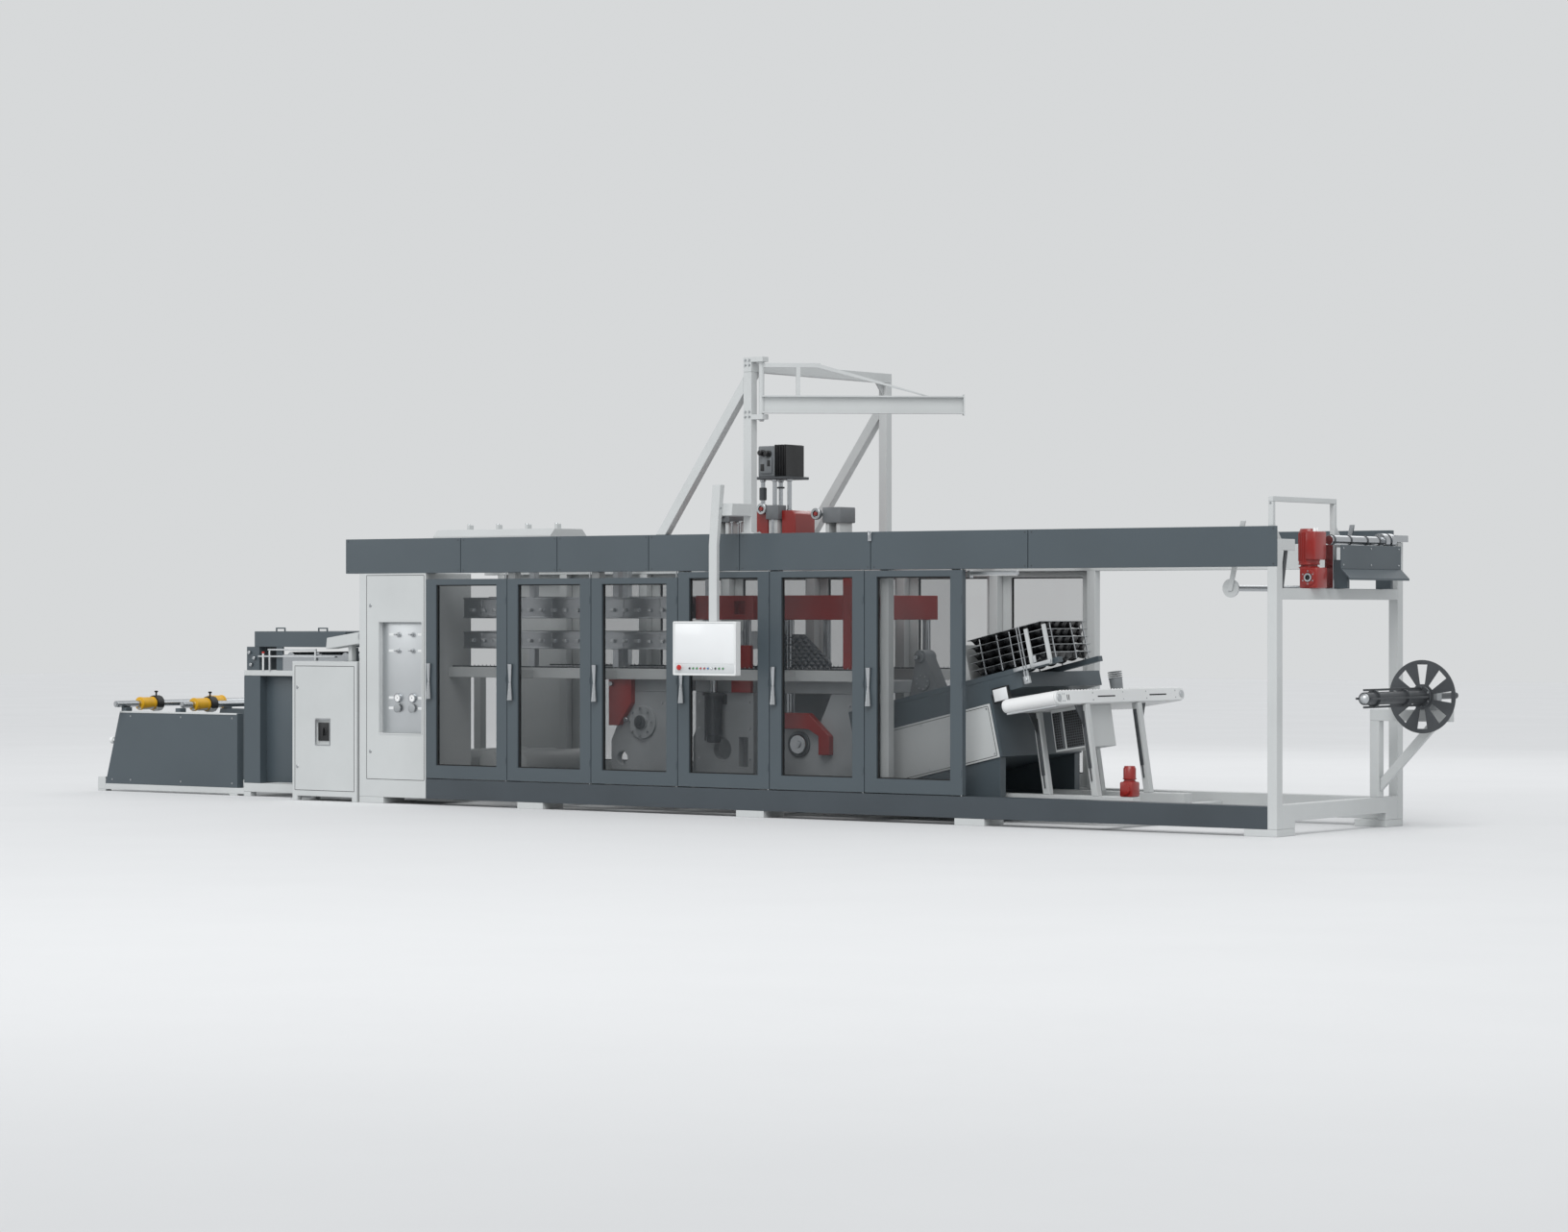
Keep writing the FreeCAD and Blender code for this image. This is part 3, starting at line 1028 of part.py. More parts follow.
# The winder's sheet hood on its arms, and the rollers beside it
def build_winder():
    build_winder_motor()
    at = ("end_x + hood_out", "front_y + hood_y", "hood_low")
    sheet = box("HoodSheet", at, ("hood_sheet", "hood_len", "hood_tall"))
    lip = plate("HoodLip", "XZ_Plane",
                [("0", "-weld_gap"), ("lip_out", "-lip_out"), ("lip_out", "-lip_out + hood_sheet * sqrt(2)"),
                 ("hood_sheet * sqrt(2)", "-weld_gap")], at, "hood_len")
    pieces = [sheet, lip]
    for index, back in enumerate(("hood_arm_in", "hood_len - hood_arm_in - hood_arm_wide")):
        pieces.append(box(f"HoodArm{index}", ("end_x - tube / 2", f"front_y + hood_y + {back}", "end_beam_top"),
                          ("tube / 2 + hood_out - weld_gap", "hood_arm_wide",
                           "hood_low + hood_arm_up - end_beam_top")))
    node("winder_hood", pieces)
    across = "end_x + roller_out"
    axis_z = "(hood_low + hood_tall + roller_play + roller_r)"
    tube = rod("WebRoller", (across, "front_y + roller_y", axis_z), "roller_r", "roller_end - roller_y", "Y")
    web = [tube]
    for name, start in (("One", "cheek_one"), ("Two", "cheek_two")):
        web.append(rod(f"WebCheek{name}", (across, f"front_y + {start}", axis_z), "cheek_r",
                       "cheek_thick", "Y"))
    pieces = [fuse("WebRollerFused", web)]
    pieces.append(box("WebStand", (f"{across} - roller_r", "front_y + roller_y", "end_beam_top"),
                      ("2 * roller_r", "hanger_thick", f"{axis_z} - roller_r - weld_gap - end_beam_top")))
    pieces.append(box("WebBlock", (f"{across} - roller_r", "front_y + roller_end + weld_gap",
                                   "end_post_top + weld_gap"), ("2 * roller_r", "block_len", "block_tall")))
    top = "end_post_top - stub_tall - weld_gap"
    foot = "end_beam_top + weld_gap"
    pieces.append(plate("DancerLink", "YZ_Plane",
                        [("link_top_y", top), ("link_low_y", foot), ("link_low_y + hanger_wide", foot),
                         ("link_top_y + hanger_wide", top)],
                        ("end_x - tube / 2", "front_y", "0"), "hanger_thick"))
    start = f"({POST_Y} + tube + hanger_thick + weld_gap)"
    stop = f"({REAR_POST_Y} - hanger_thick - weld_gap)"
    pieces.append(rod("GuideCheek", ("end_x - guide_x", start, "guide_z"), "guide_r", "hanger_thick", "Y"))
    inner = f"({start} + hanger_thick + weld_gap)"
    pieces.append(rod("GuideRoller", ("end_x - guide_x", inner, "guide_z"), "guide_tube_r",
                      f"{stop} - {inner}", "Y"))
    half = "hanger_wide / 2"
    for side, low in (("Front", f"{POST_Y} + tube"), ("Rear", f"{REAR_POST_Y} - hanger_thick")):
        pieces.append(plate(f"GuideHanger{side}", "XZ_Plane",
                            [(f"-{half}", f"-{half}"), (half, f"-{half}"),
                             (f"hanger_lean + {half}", "hanger_top - guide_z"),
                             (f"hanger_lean - {half}", "hanger_top - guide_z")],
                            ("end_x - guide_x", low, "guide_z"), "hanger_thick"))
    node("web_rollers", pieces)


# The heating station: chain rails, two oven banks and the air tanks under them
def build_ovens():
    rails = []
    far_y = "(body_deep - rail_y - rail_wide)"
    for side, back in (("Front", "rail_y"), ("Rear", far_y)):
        rails.append(box(f"ChainRail{side}", (DOORS_X, f"front_y + {back}", "rail_z"),
                         ("chain_len", "rail_wide", "rail_tall")))
    for index in range(1, 5):
        rails.append(box(f"RailBracketFront{index}", (front_post(index), f"{POST_Y} + tube", "rail_z"),
                         ("tube", f"front_y + rail_y - {POST_Y} - tube - weld_gap", "bracket_tall")))
        rails.append(box(f"RailBracketRear{index}",
                         (rear_post(index), f"front_y + {far_y} + rail_wide + weld_gap", "rail_z"),
                         ("tube", f"{REAR_POST_Y} - front_y - {far_y} - rail_wide - weld_gap", "bracket_tall")))
    node("chain_rails", rails)
    ovens = []
    deep = "(body_deep - 2 * oven_y)"
    for name, low, tall in (("Upper", "oven_top_z", "oven_top_tall"), ("Lower", "oven_low_z", "oven_low_tall")):
        ovens.append(box(f"Oven{name}", (f"{DOORS_X} + oven_x", "front_y + oven_y", low),
                         ("oven_len", deep, tall)))
    over = "oven_top_z + oven_top_tall + weld_gap"
    for index in (1, 2):
        left = f"{rear_post(index)} + (tube - hanger) / 2"
        for side, back in enumerate(("oven_y", "body_deep - oven_y - hanger")):
            ovens.append(box(f"OvenHanger{index}{side}", (left, f"front_y + {back}", over),
                             ("hanger", "hanger", f"{ROOF_TOP} - roof_tube - ({over})")))
            ovens.append(box(f"OvenLeg{index}{side}", (left, f"front_y + {back}", "rail_z + rail_tall"),
                             ("hanger", "hanger", "oven_low_z - rail_z - rail_tall - weld_gap")))
    node("oven_banks", ovens)
    tanks = []
    for index in range(3):
        across = f"{LEFT_X} + tank_x + {index} * tank_pitch"
        start = "front_y + tank_y"
        barrel = rod(f"TankBarrel{index}", (across, start, "tank_z"), "tank_r", "tank_len", "Y")
        near = prism(f"TankNear{index}", (across, f"{start} - tank_end", "tank_z"), "tank_neck", "tank_end", "Y")
        far = prism(f"TankFar{index}", (across, f"{start} + tank_len", "tank_z"), "tank_neck", "tank_end", "Y")
        saddle = box(f"TankSaddle{index}", (f"{across} - saddle_wide / 2", "front_y + tank_y", BASE_TOP),
                     ("saddle_wide", "tank_len", f"tank_z - {BASE_TOP}"))
        tanks.append(fuse(f"Tank{index}", [barrel, near, far, saddle]))
    node("air_tanks", tanks)


PRESS_FAR = "(body_deep - press_y - press_plate)"
PRESSES = [("press_one", "press_wide"), ("press_two", "press_wide"), ("press_three", "press_long")]
SIDE_OUTLINES = [
    [("0", "press_top - cast_slope"), ("0", BASE_TOP), ("press_wide", BASE_TOP), ("press_wide", "press_top"),
     ("cast_step", "press_top")],
    [("0", BASE_TOP), ("press_wide", BASE_TOP), ("press_wide", "press_top"), ("0", "press_top")],
    [("0", BASE_TOP), ("press_long", BASE_TOP), ("press_long", "press_top"), ("high_x", "press_top"),
     ("low_x", "low_top"), ("0", "low_top")],
]


# The cast side plates of the forming stations, with a bearing flange, a port, an opening and a slot
def build_press_sides():
    sides = []
    front = "front_y + press_y"
    for index, (start, wide) in enumerate(PRESSES):
        left = f"({DOORS_X} + {start})"
        for side, back in (("Front", "press_y"), ("Rear", PRESS_FAR)):
            made = plate(f"PressSide{side}{index}", "XZ_Plane", SIDE_OUTLINES[index],
                         (left, f"front_y + {back}", "0"), "press_plate")
            if side == "Front" and index == 0:
                port = rod("PressPort", (f"{left} + port_x", f"{front} - 1", "port_z"), "port_r",
                           "press_plate + 2", "Y")
                made = cut("PressSidePort", made, port)
                flange = rod("PressFlange", (f"{left} + flange_x", f"{front} - flange_thick", "flange_z"),
                             "flange_r", "flange_thick", "Y")
                hub = rod("PressHub", (f"{left} + flange_x", f"{front} - 2 * flange_thick", "flange_z"),
                          "flange_hub", "2 * flange_thick", "Y")
                made = fuse("PressSideFlange", [made, flange, hub])
            if side == "Front" and index == 1:
                mouth = rod("PressMouth", (f"{left} + mouth_x", f"{front} - 1", "mouth_z"), "mouth_r",
                            "press_plate + 2", "Y")
                slot = box("PressSlot", (f"{left} + slot_x", f"{front} - 1", "slot_low"),
                           ("slot_side", "press_plate + 2", "slot_tall"))
                made = cut("PressSideMouth", cut("PressSideSlot", made, slot), mouth)
            sides.append(made)
    node("press_side_plates", sides)


# The red pieces of the forming stations: crossheads, lever, link, block and bracket
def build_press_reds():
    front = "front_y + press_y"
    reds = []
    for index, (start, wide) in enumerate(PRESSES[1:]):
        reds.append(box(f"Crosshead{index}", (f"{DOORS_X} + {start}", front, "head_z"),
                        (wide, "body_deep - 2 * press_y", "head_tall")))
    pocket = box("CrossheadPocket", (f"{DOORS_X} + press_two + pocket_x", f"{front} - 1", "head_z + pocket_in"),
                 ("pocket_side", "pocket_deep + 1", "pocket_side"))
    reds[0] = cut("CrossheadCut", reds[0], pocket)
    low = "(rail_z - weld_gap)"
    reds.append(plate("RedLever", "XZ_Plane",
                      [("lever_x", low), ("lever_x", "lever_knee"), ("lever_x", "lever_low"),
                       ("lever_x + lever_foot", "lever_low"), ("lever_x + lever_wide", "lever_knee"),
                       ("lever_x + lever_wide", low)],
                      (f"{DOORS_X} + press_one", f"{front} - lever_deep - weld_gap", "0"), "lever_deep"))
    reds.append(plate("RedLink", "XZ_Plane",
                      [("link_x", "link_z"), ("link_x", "link_z + link_arm"),
                       ("link_x + link_bend", "link_z + link_arm"),
                       ("link_x + link_run", "link_z - link_toe / 2"),
                       ("link_x + link_run", "link_z - link_drop"),
                       ("link_x + link_run - link_toe", "link_z - link_drop"),
                       ("link_x + link_run - link_toe", "link_z - link_toe / 2"),
                       ("link_x + link_bend", "link_z")],
                      (f"{DOORS_X} + press_three", f"{front} - lever_deep - weld_gap", "0"), "lever_deep"))
    thin = "press_y - rail_y - rail_wide - 2 * weld_gap"
    behind = "front_y + rail_y + rail_wide + weld_gap"
    reds.append(box("RedBlock", (f"{DOORS_X} + press_two + pocket_x", behind, "press_top + weld_gap"),
                    ("press_wide - pocket_x", thin, "red_block_top - press_top - weld_gap")))
    reds.append(box("RedBracket", (f"{DOORS_X} + press_three + red_bracket_x", behind, "rail_z + rail_tall"),
                    ("red_bracket_wide", thin, "red_bracket_top - rail_z - rail_tall")))
    node("press_crossheads", reds)


# The forming stations' pillars and lower platens
def build_presses():
    build_press_sides()
    pillars = []
    platens = []
    over = "(press_top + platen_tall)"
    for index, (start, wide) in enumerate(PRESSES):
        left = f"({DOORS_X} + {start})"
        for side, back in (("Front", "press_y"), ("Rear", PRESS_FAR)):
            for corner, across in enumerate(("pillar_in", f"{wide} - pillar_in") if index else ()):
                pillars.append(prism(f"Pillar{side}{index}{corner}",
                                     (f"{left} + {across}", f"front_y + {back} + press_plate / 2", over),
                                     "pillar_r", f"head_z - {over}"))
        platens.append(box(f"Platen{index}", (left, "front_y + press_y", "press_top"),
                           (wide, "body_deep - 2 * press_y", "platen_tall")))
    for side, back in (("Front", "press_y"), ("Rear", PRESS_FAR)):
        pillars.append(prism(f"Toggle{side}", (f"{DOORS_X} + press_three + pillar_in",
                                               f"front_y + {back} + press_plate / 2", "low_top"),
                             "pillar_r", "press_top - low_top"))
    node("press_pillars", pillars)
    node("press_platens", platens)
    build_press_reds()


# The servo drive and the cases on the roof over the presses, and the cover over the ovens
def build_roof():
    deck_top = f"({ROOF_TOP} + deck_tall + weld_gap)"
    front = "(front_y + deck_y)"
    pieces = [box("DriveDeck", (f"{DOORS_X} + deck_x", front, ROOF_TOP),
                  ("deck_len", "deck_deep", "deck_tall"))]
    for name, left, wide in (("One", "block_one", "block_wide"), ("Two", "block_two", "block_small")):
        pieces.append(box(f"DriveBlock{name}", (f"{DOORS_X} + {left}", f"{front} + block_in", deck_top),
                          (wide, "block_deep", f"block_top - {deck_top}")))
    for name, across in (("Left", "stalk_in"), ("Right", "servo_wide - stalk_in - stalk")):
        pieces.append(box(f"DriveStalk{name}", (f"{DOORS_X} + servo_x + {across}",
                                                f"{front} + block_in + block_deep / 2",
                                                "block_top + weld_gap"),
                          ("stalk", "stalk", "servo_low - block_top - 2 * weld_gap")))
    pieces.append(box("Servo", (f"{DOORS_X} + servo_x", f"{front} + block_in", "servo_low"),
                      ("servo_wide", "block_deep", "servo_tall")))
    for name, left, wide in (("Left", "case_x", "case_wide"), ("Right", "case_right", "case_long")):
        pieces.append(box(f"DriveCase{name}", (f"{DOORS_X} + {left}", f"{front} + block_in", deck_top),
                          (wide, "case_deep", f"case_top - {deck_top}")))
    node("roof_drive", pieces)
    left = f"({LEFT_X} + cover_x)"
    low = f"({ROOF_TOP} + skid_tall + weld_gap)"
    tall = f"(cover_top - {low})"
    cover = [plate("CoverBody", "YZ_Plane",
                   [("0", "0"), ("cover_deep", "0"), ("cover_deep", f"{tall} - cover_round"),
                    ("cover_deep - cover_round", tall), ("cover_round", tall), ("0", f"{tall} - cover_round")],
                   (left, "front_y + cover_y", low), "cover_len")]
    for name, back in (("Front", "0"), ("Rear", "cover_deep - hanger")):
        cover.append(box(f"CoverSkid{name}", (LEFT_X, f"front_y + cover_y + {back}", ROOF_TOP),
                         (f"{rear_post(1)} + tube - {LEFT_X}", "hanger", "skid_tall")))
    for index in range(4):
        cover.append(box(f"CoverLug{index}", (f"{left} + lug_first + {index} * lug_pitch",
                                              "front_y + cover_y + cover_deep / 2", "cover_top + weld_gap"),
                         ("lug_wide", "2 * lug_wide", "lug_tall")))
    node("oven_cover", cover)


# The stacker's tilted dark body with its rails, on wedges and bearers
def build_stacker_body(at, tilt):
    inner = "stack_deep - 2 * skin"
    body = box("StackBody", ("-stack_left", "skin", "0"), ("stack_left + stack_short", inner, "stack_tall"))
    bridge = box("StackBridge", ("stack_short + weld_gap", "skin", "stack_bridge"),
                 ("stack_right - stack_short - weld_gap", inner, "stack_tall - stack_bridge"))
    tilted = [body, bridge]
    rail_low = "stack_tall + weld_gap"
    for index, back in enumerate(("skin", "tray_wide - bearer_tall")):
        tilted.append(box(f"StackRail{index}", ("-stack_left", back, rail_low),
                          ("stack_left + guide_two + bearer_wide", "bearer_tall", "rail_rise - weld_gap")))
    for name, left in (("One", "guide_one"), ("Two", "guide_two")):
        foot = box(f"GuideFoot{name}", (left, "-guide_thick - weld_gap", rail_low),
                   ("guide_wide", "guide_thick + skin", "rail_rise - weld_gap"))
        bar = box(f"GuideBar{name}", (left, "-guide_thick - weld_gap", rail_low),
                  ("guide_wide", "guide_thick", "guide_tall"))
        tilted.append(fuse(f"Guide{name}", [foot, bar]))
    whole = group("Stacker", tilted)
    place(whole, at, Y_AXIS, tilt)
    pieces = [whole]
    run = "(stack_left * cos(stack_tilt))"
    low = f"{BASE_TOP} + bearer_tall + weld_gap - stack_z"
    corner_x = f"({BAY_X} + stack_x)"
    bearer_x = f"({DOORS_X} + foot_three)"
    for index, back in enumerate(("stack_y + skin", "stack_y + stack_deep - skin - bearer_wide")):
        pieces.append(plate(f"StackWedge{index}", "XZ_Plane",
                            [("0", low), ("0", "-weld_gap"),
                             (f"-{run}", f"-{run} * tan(stack_tilt) - weld_gap"), (f"-{run}", low)],
                            (corner_x, f"front_y + {back}", "stack_z"), "bearer_wide"))
        pieces.append(box(f"StackBearer{index}", (bearer_x, f"front_y + {back}", BASE_TOP),
                          (f"{BAY_X} - tube / 2 - weld_gap - {bearer_x}", "bearer_wide", "bearer_tall")))
    node("stacker_body", pieces)


# The tilted stacker over the conveyor's side: its body, pale sides and the stacked trays
def build_stacker():
    at = (f"{BAY_X} + stack_x", "front_y + stack_y", "stack_z")
    tilt = "-stack_tilt"
    build_stacker_body(at, tilt)
    pieces = []
    for side, back in (("Front", "0"), ("Rear", "stack_deep - skin")):
        pieces.append(box(f"StackSide{side}", ("-stack_left", back, "0"), ("stack_left", "skin", "stack_side")))
    seat = "stack_tall + rail_rise + weld_gap"
    stop_y = "skin + bearer_tall + weld_gap"
    pieces.append(box("StackStop", ("stop_left - stop_wide", stop_y, "stack_tall + weld_gap"),
                      ("stop_wide", "tray_wide - 2 * bearer_tall - skin - 2 * weld_gap", "stop_tall")))
    sides = group("StackSides", pieces)
    place(sides, at, Y_AXIS, tilt)
    node("stacker_side_panels", sides)
    trays = []
    for index in range(int(size("tray_count"))):
        low = f"{seat} + {index} * tray_pitch"
        wall = box(f"TrayWall{index}", ("tray_right - tray_long + tray_in", "tray_in", low),
                   ("tray_long - 2 * tray_in", "tray_wide - 2 * tray_in", "tray_pitch - tray_lip - weld_gap"))
        lip_low = f"{low} + tray_pitch - tray_lip - weld_gap"
        lip = box(f"TrayLip{index}", ("tray_right - tray_long", "0", lip_low),
                  ("tray_long", "tray_wide", "tray_lip"))
        trays.append(fuse(f"Tray{index}", [wall, lip]))
    pile = group("Trays", trays)
    place(pile, at, Y_AXIS, tilt)
    node("tray_stack", pile)


# The cross conveyor: a belt with rounded noses between two slotted side plates
def build_belt():
    at = (f"{BAY_X} + belt_x", "front_y + belt_y", "belt_z")
    inner = "belt_wide - 2 * belt_cheek"
    half = "belt_thick / 2"
    belt = box("BeltBody", ("belt_cheek", half, "0"), (inner, "belt_len - belt_thick", "belt_thick"))
    pieces = [belt]
    for name, back in (("Nose", half), ("Tail", f"belt_len - {half}")):
        pieces.append(prism(f"Belt{name}", ("belt_cheek", back, half), half, inner, "X"))
    for name, across in (("Left", "0"), ("Right", "belt_wide - belt_cheek")):
        pieces.append(box(f"BeltCheek{name}", (across, half, "0"),
                          ("belt_cheek", "belt_len - belt_thick", "belt_thick")))
    whole = fuse("Belt", pieces)
    for index in range(4):
        back = f"{half} + (belt_len - belt_thick) * {index + 0.5} / 4 - cheek_slot / 2"
        slot = box(f"BeltSlot{index}", ("belt_wide - belt_cheek / 2", back, half),
                   ("belt_cheek", "cheek_slot", "cheek_slot_tall"))
        whole = cut(f"BeltCut{index}", whole, slot)
    place(whole, at, Y_AXIS, "-belt_tilt")
    node("cross_conveyor", whole)


# The conveyor's cart: beams, slanted legs and a control case under the belt
def build_conveyor():
    build_belt()
    left = f"({BAY_X} + belt_x)"
    low = "(front_y + belt_y)"
    pieces = []
    cart_left = f"({BAY_X} - tube / 2)"
    foot = "(cart_z - belt_z + weld_gap)"
    for index in range(2):
        back = f"{low} + cart_first + {index} * cart_pitch"
        pieces.append(box(f"CartBeam{index}", (cart_left, back, BASE_TOP),
                          (f"{BAY_X} + cart_reach - {cart_left}", "cart_deep", f"cart_z - {BASE_TOP}")))
        for side, across in (("Left", "0"), ("Right", "(belt_wide * cos(belt_tilt) - leg_side)")):
            outer = f"({across} + leg_side)"
            top_left = f"({across} * tan(belt_tilt) - weld_gap)"
            top_right = f"({outer} * tan(belt_tilt) - weld_gap)"
            shift = f"(({top_left} - {foot}) * tan(belt_tilt))"
            pieces.append(plate(f"CartLeg{index}{side}", "XZ_Plane",
                                [(f"{across} + {shift}", foot), (f"{outer} + {shift}", foot),
                                 (outer, top_right), (across, top_left)], (left, back, "belt_z"), "leg_side"))
    case = box("CartCase", ("vent_x", "vent_y", "-vent_tall - weld_gap"),
               ("vent_wide", "vent_deep", "vent_tall"))
    held = group("CartCaseHeld", [case])
    place(held, (left, low, "belt_z"), Y_AXIS, "-belt_tilt")
    pieces.append(held)
    node("conveyor_cart", pieces)
    across = f"{BAY_X} + cart_reach - cart_deep"
    back = f"{low} + cart_first"
    gear = box("CartGear", (across, back, "cart_z"), ("cart_deep", "cart_deep", "cart_deep"))
    barrel = prism("CartMotor", (f"{across} + cart_deep / 2", f"{back} + cart_deep / 2", "cart_z + cart_deep"),
                   "cart_motor_r", "cart_deep")
    node("cart_gearmotor", fuse("CartDrive", [gear, barrel]))


STAND_X = "(end_x - body_len - stand_wide)"
STAND_Y = "(front_y + stand_y)"


# The infeed's pale cabinet with its switch recess
def build_desk():
    left = "(end_x - body_len - desk_gap - desk_wide)"
    deep = "(stand_y - weld_gap)"
    case = box("Desk", (left, "front_y", "desk_low"), ("desk_wide", deep, "desk_top - desk_low"))
    recess = box("DeskRecess", (f"{left} + desk_recess_x", "front_y - 1", "desk_recess_z"),
                 ("desk_recess_wide", "desk_recess_deep + 1", "desk_recess_tall"))
    pieces = [cut("DeskCut", case, recess)]
    for index in range(4):
        pieces.append(box(f"DeskFoot{index}",
                          (f"{left} + {index % 2} * (desk_wide - desk_foot)",
                           f"front_y + {index // 2} * ({deep} - desk_foot)", "0"),
                          ("desk_foot", "desk_foot", "desk_low")))
    node("infeed_cabinet", fuse("DeskFused", pieces))


# The infeed stand: base rails, posts, a closed end and two top rails
def build_stand():
    wide = "(stand_wide - weld_gap)"
    rail_z = "(stand_top - stand_rail)"
    base_top = "(stand_base + stand_tube)"
    pieces = []
    for side, back in enumerate(("0", "stand_deep - stand_tube")):
        at_y = f"{STAND_Y} + {back}"
        pieces.append(box(f"StandBase{side}", (STAND_X, at_y, "stand_base"),
                          (wide, "stand_tube", "stand_tube")))
        pieces.append(box(f"StandRail{side}", (STAND_X, at_y, rail_z), (wide, "stand_tube", "stand_rail")))
        pieces.append(box(f"StandPost{side}",
                          (f"{STAND_X} + {wide} - stand_tube", at_y, f"{base_top} + weld_gap"),
                          ("stand_tube", "stand_tube", f"{rail_z} - {base_top} - 2 * weld_gap")))
        for end, across in enumerate(("0", f"{wide} - stand_tube")):
            pieces.append(box(f"StandFoot{side}{end}", (f"{STAND_X} + {across}", at_y, "0"),
                              ("stand_tube", "stand_tube", "stand_base - weld_gap")))
    pieces.append(box("StandCase", (STAND_X, STAND_Y, f"{base_top} + weld_gap"),
                      ("stand_case", "stand_deep", f"{rail_z} - {base_top} - 2 * weld_gap")))
    node("infeed_stand", pieces)


# The infeed's rollers between their side plates, and the dark hood with its handles and brake
def build_infeed():
    build_desk()
    build_stand()
    rollers = []
    inner = "(stand_deep - 2 * side_plate - 2 * weld_gap)"
    for index in range(3):
        across = f"{STAND_X} + web_roll_first + {index} * web_roll_pitch"
        rollers.append(rod(f"FeedRoller{index}", (across, f"{STAND_Y} + side_plate + weld_gap", "web_z"),
                           "web_roll_r", inner, "Y"))
    for side, back in enumerate(("0", "stand_deep - side_plate")):
        rollers.append(box(f"FeedPlate{side}",
                           (f"{STAND_X} + web_roll_first - stand_tube", f"{STAND_Y} + {back}", "stand_top"),
                           ("2 * web_roll_pitch + 2 * stand_tube", "side_plate",
                            "web_z + web_roll_r / 2 - stand_top")))
    node("infeed_rollers", rollers)
    hood = [box("CowlTop", (f"{STAND_X} + cowl_x", STAND_Y, "cowl_z"),
                ("cowl_wide", "stand_deep", "cowl_tall"))]
    for side, back in enumerate(("0", "stand_deep - side_plate")):
        for end, across in enumerate(("web_roll_first - stand_tube - weld_gap - cowl_leg",
                                      "web_roll_first + 2 * web_roll_pitch + stand_tube + weld_gap")):
            hood.append(box(f"CowlLeg{side}{end}",
                            (f"{STAND_X} + {across}", f"{STAND_Y} + {back}", "stand_top"),
                            ("cowl_leg", "side_plate", "cowl_z - stand_top - weld_gap")))
    cowl_top = "(cowl_z + cowl_tall + weld_gap)"
    for index in range(2):
        left = f"{STAND_X} + grip_first + {index} * grip_pitch"
        bar = box(f"GripBar{index}", (left, STAND_Y, f"{cowl_top} + grip_tall - grip_bar"),
                  ("grip_wide", "grip_bar", "grip_bar"))
        legs = [box(f"GripLeg{index}{end}", (f"{left} + {end} * (grip_wide - grip_bar)", STAND_Y, cowl_top),
                    ("grip_bar", "grip_bar", "grip_tall")) for end in range(2)]
        hood.append(fuse(f"Grip{index}Hood", [bar] + legs))
    hood.append(box("BrakeBlock", (f"{STAND_X} + brake_x", STAND_Y, "stand_top"),
                    ("brake_wide", "brake_deep", "cowl_z - stand_top - weld_gap")))
    node("infeed_hood", hood)


# The unwinder: dark sides on base rails, a foot block at each, and two shafts with clamps
def build_unwinder():
    left = f"({STAND_X} - reel_gap)"
    pieces = []
    for index, back in enumerate(("0", "stand_deep - stand_tube")):
        at_y = f"{STAND_Y} + {back}"
        pieces.append(plate(f"UnwindSide{index}", "XZ_Plane",
                            [("0", "reel_side_low"), ("reel_side_len", "reel_side_low"),
                             ("reel_side_len", "reel_side_top"), ("reel_slope", "reel_side_top")],
                            (left, at_y, "0"), "stand_tube"))
        pieces.append(box(f"UnwindFoot{index}", (f"{left} - reel_foot", at_y, "reel_base"),
                          ("reel_foot - weld_gap", "stand_tube", "reel_foot_tall")))
        pieces.append(box(f"UnwindBase{index}", (left, at_y, "reel_base"),
                          ("reel_gap - weld_gap", "stand_tube", "reel_side_low - reel_base - weld_gap")))
        for end, across in enumerate((f"{left} - reel_foot", f"{left} + reel_side_len - reel_foot")):
            pieces.append(box(f"UnwindPad{index}{end}", (across, at_y, "0"),
                              ("reel_foot - weld_gap", "stand_tube", "reel_base - weld_gap")))
        for name, across in (("One", "unwind_one"), ("Two", "unwind_two")):
            pieces.append(box(f"ShaftSeat{index}{name}",
                              (f"{left} + {across} - unwind_r", at_y, "reel_side_top + weld_gap"),
                              ("2 * unwind_r", "stand_tube",
                               "unwind_z - unwind_r - reel_side_top - 2 * weld_gap")))
    node("unwinder_frame", pieces)
    shafts = []
    for name, across, start in (("One", "unwind_one", "shaft_one_y"), ("Two", "unwind_two", "shaft_two_y")):
        at_x = f"{left} + {across}"
        parts = [rod(f"Shaft{name}", (at_x, f"front_y + {start}", "unwind_z"), "unwind_r",
                     f"shaft_end_y - {start}", "Y")]
        near = "front_y + stand_y + stand_tube + clamp_in"
        parts.append(prism(f"Clamp{name}", (at_x, near, "unwind_z"), "clamp_r", "clamp_len", "Y"))
        parts.append(prism(f"Collar{name}", (at_x, f"{near} + clamp_len", "unwind_z"), "collar_r",
                           "collar_len", "Y"))
        parts.append(prism(f"Far{name}", (at_x, "front_y + clamp_far - clamp_len", "unwind_z"), "clamp_r",
                           "clamp_len", "Y"))
        shafts.append(fuse(f"Unwind{name}", parts))
    node("unwind_shafts", shafts)


def check(things):
    """Stop when an object failed or a sub-part isn't a valid shape."""
    for thing in DOC.Objects:
        if "Invalid" in thing.State or "Error" in thing.State:
            raise RuntimeError(f"{thing.Label} failed: {thing.State}")
    for thing in things:
        if thing.Shape.isNull() or not thing.Shape.isValid() or not thing.Shape.Solids:
            raise RuntimeError(f"{thing.Label} is not a valid solid")


def export(things):
    """Write each sub-part to its own file, named by its label."""
    os.makedirs("parts", exist_ok=True)
    for thing in things:
        thing.Shape.exportStep(f"parts/{thing.Label}.step")


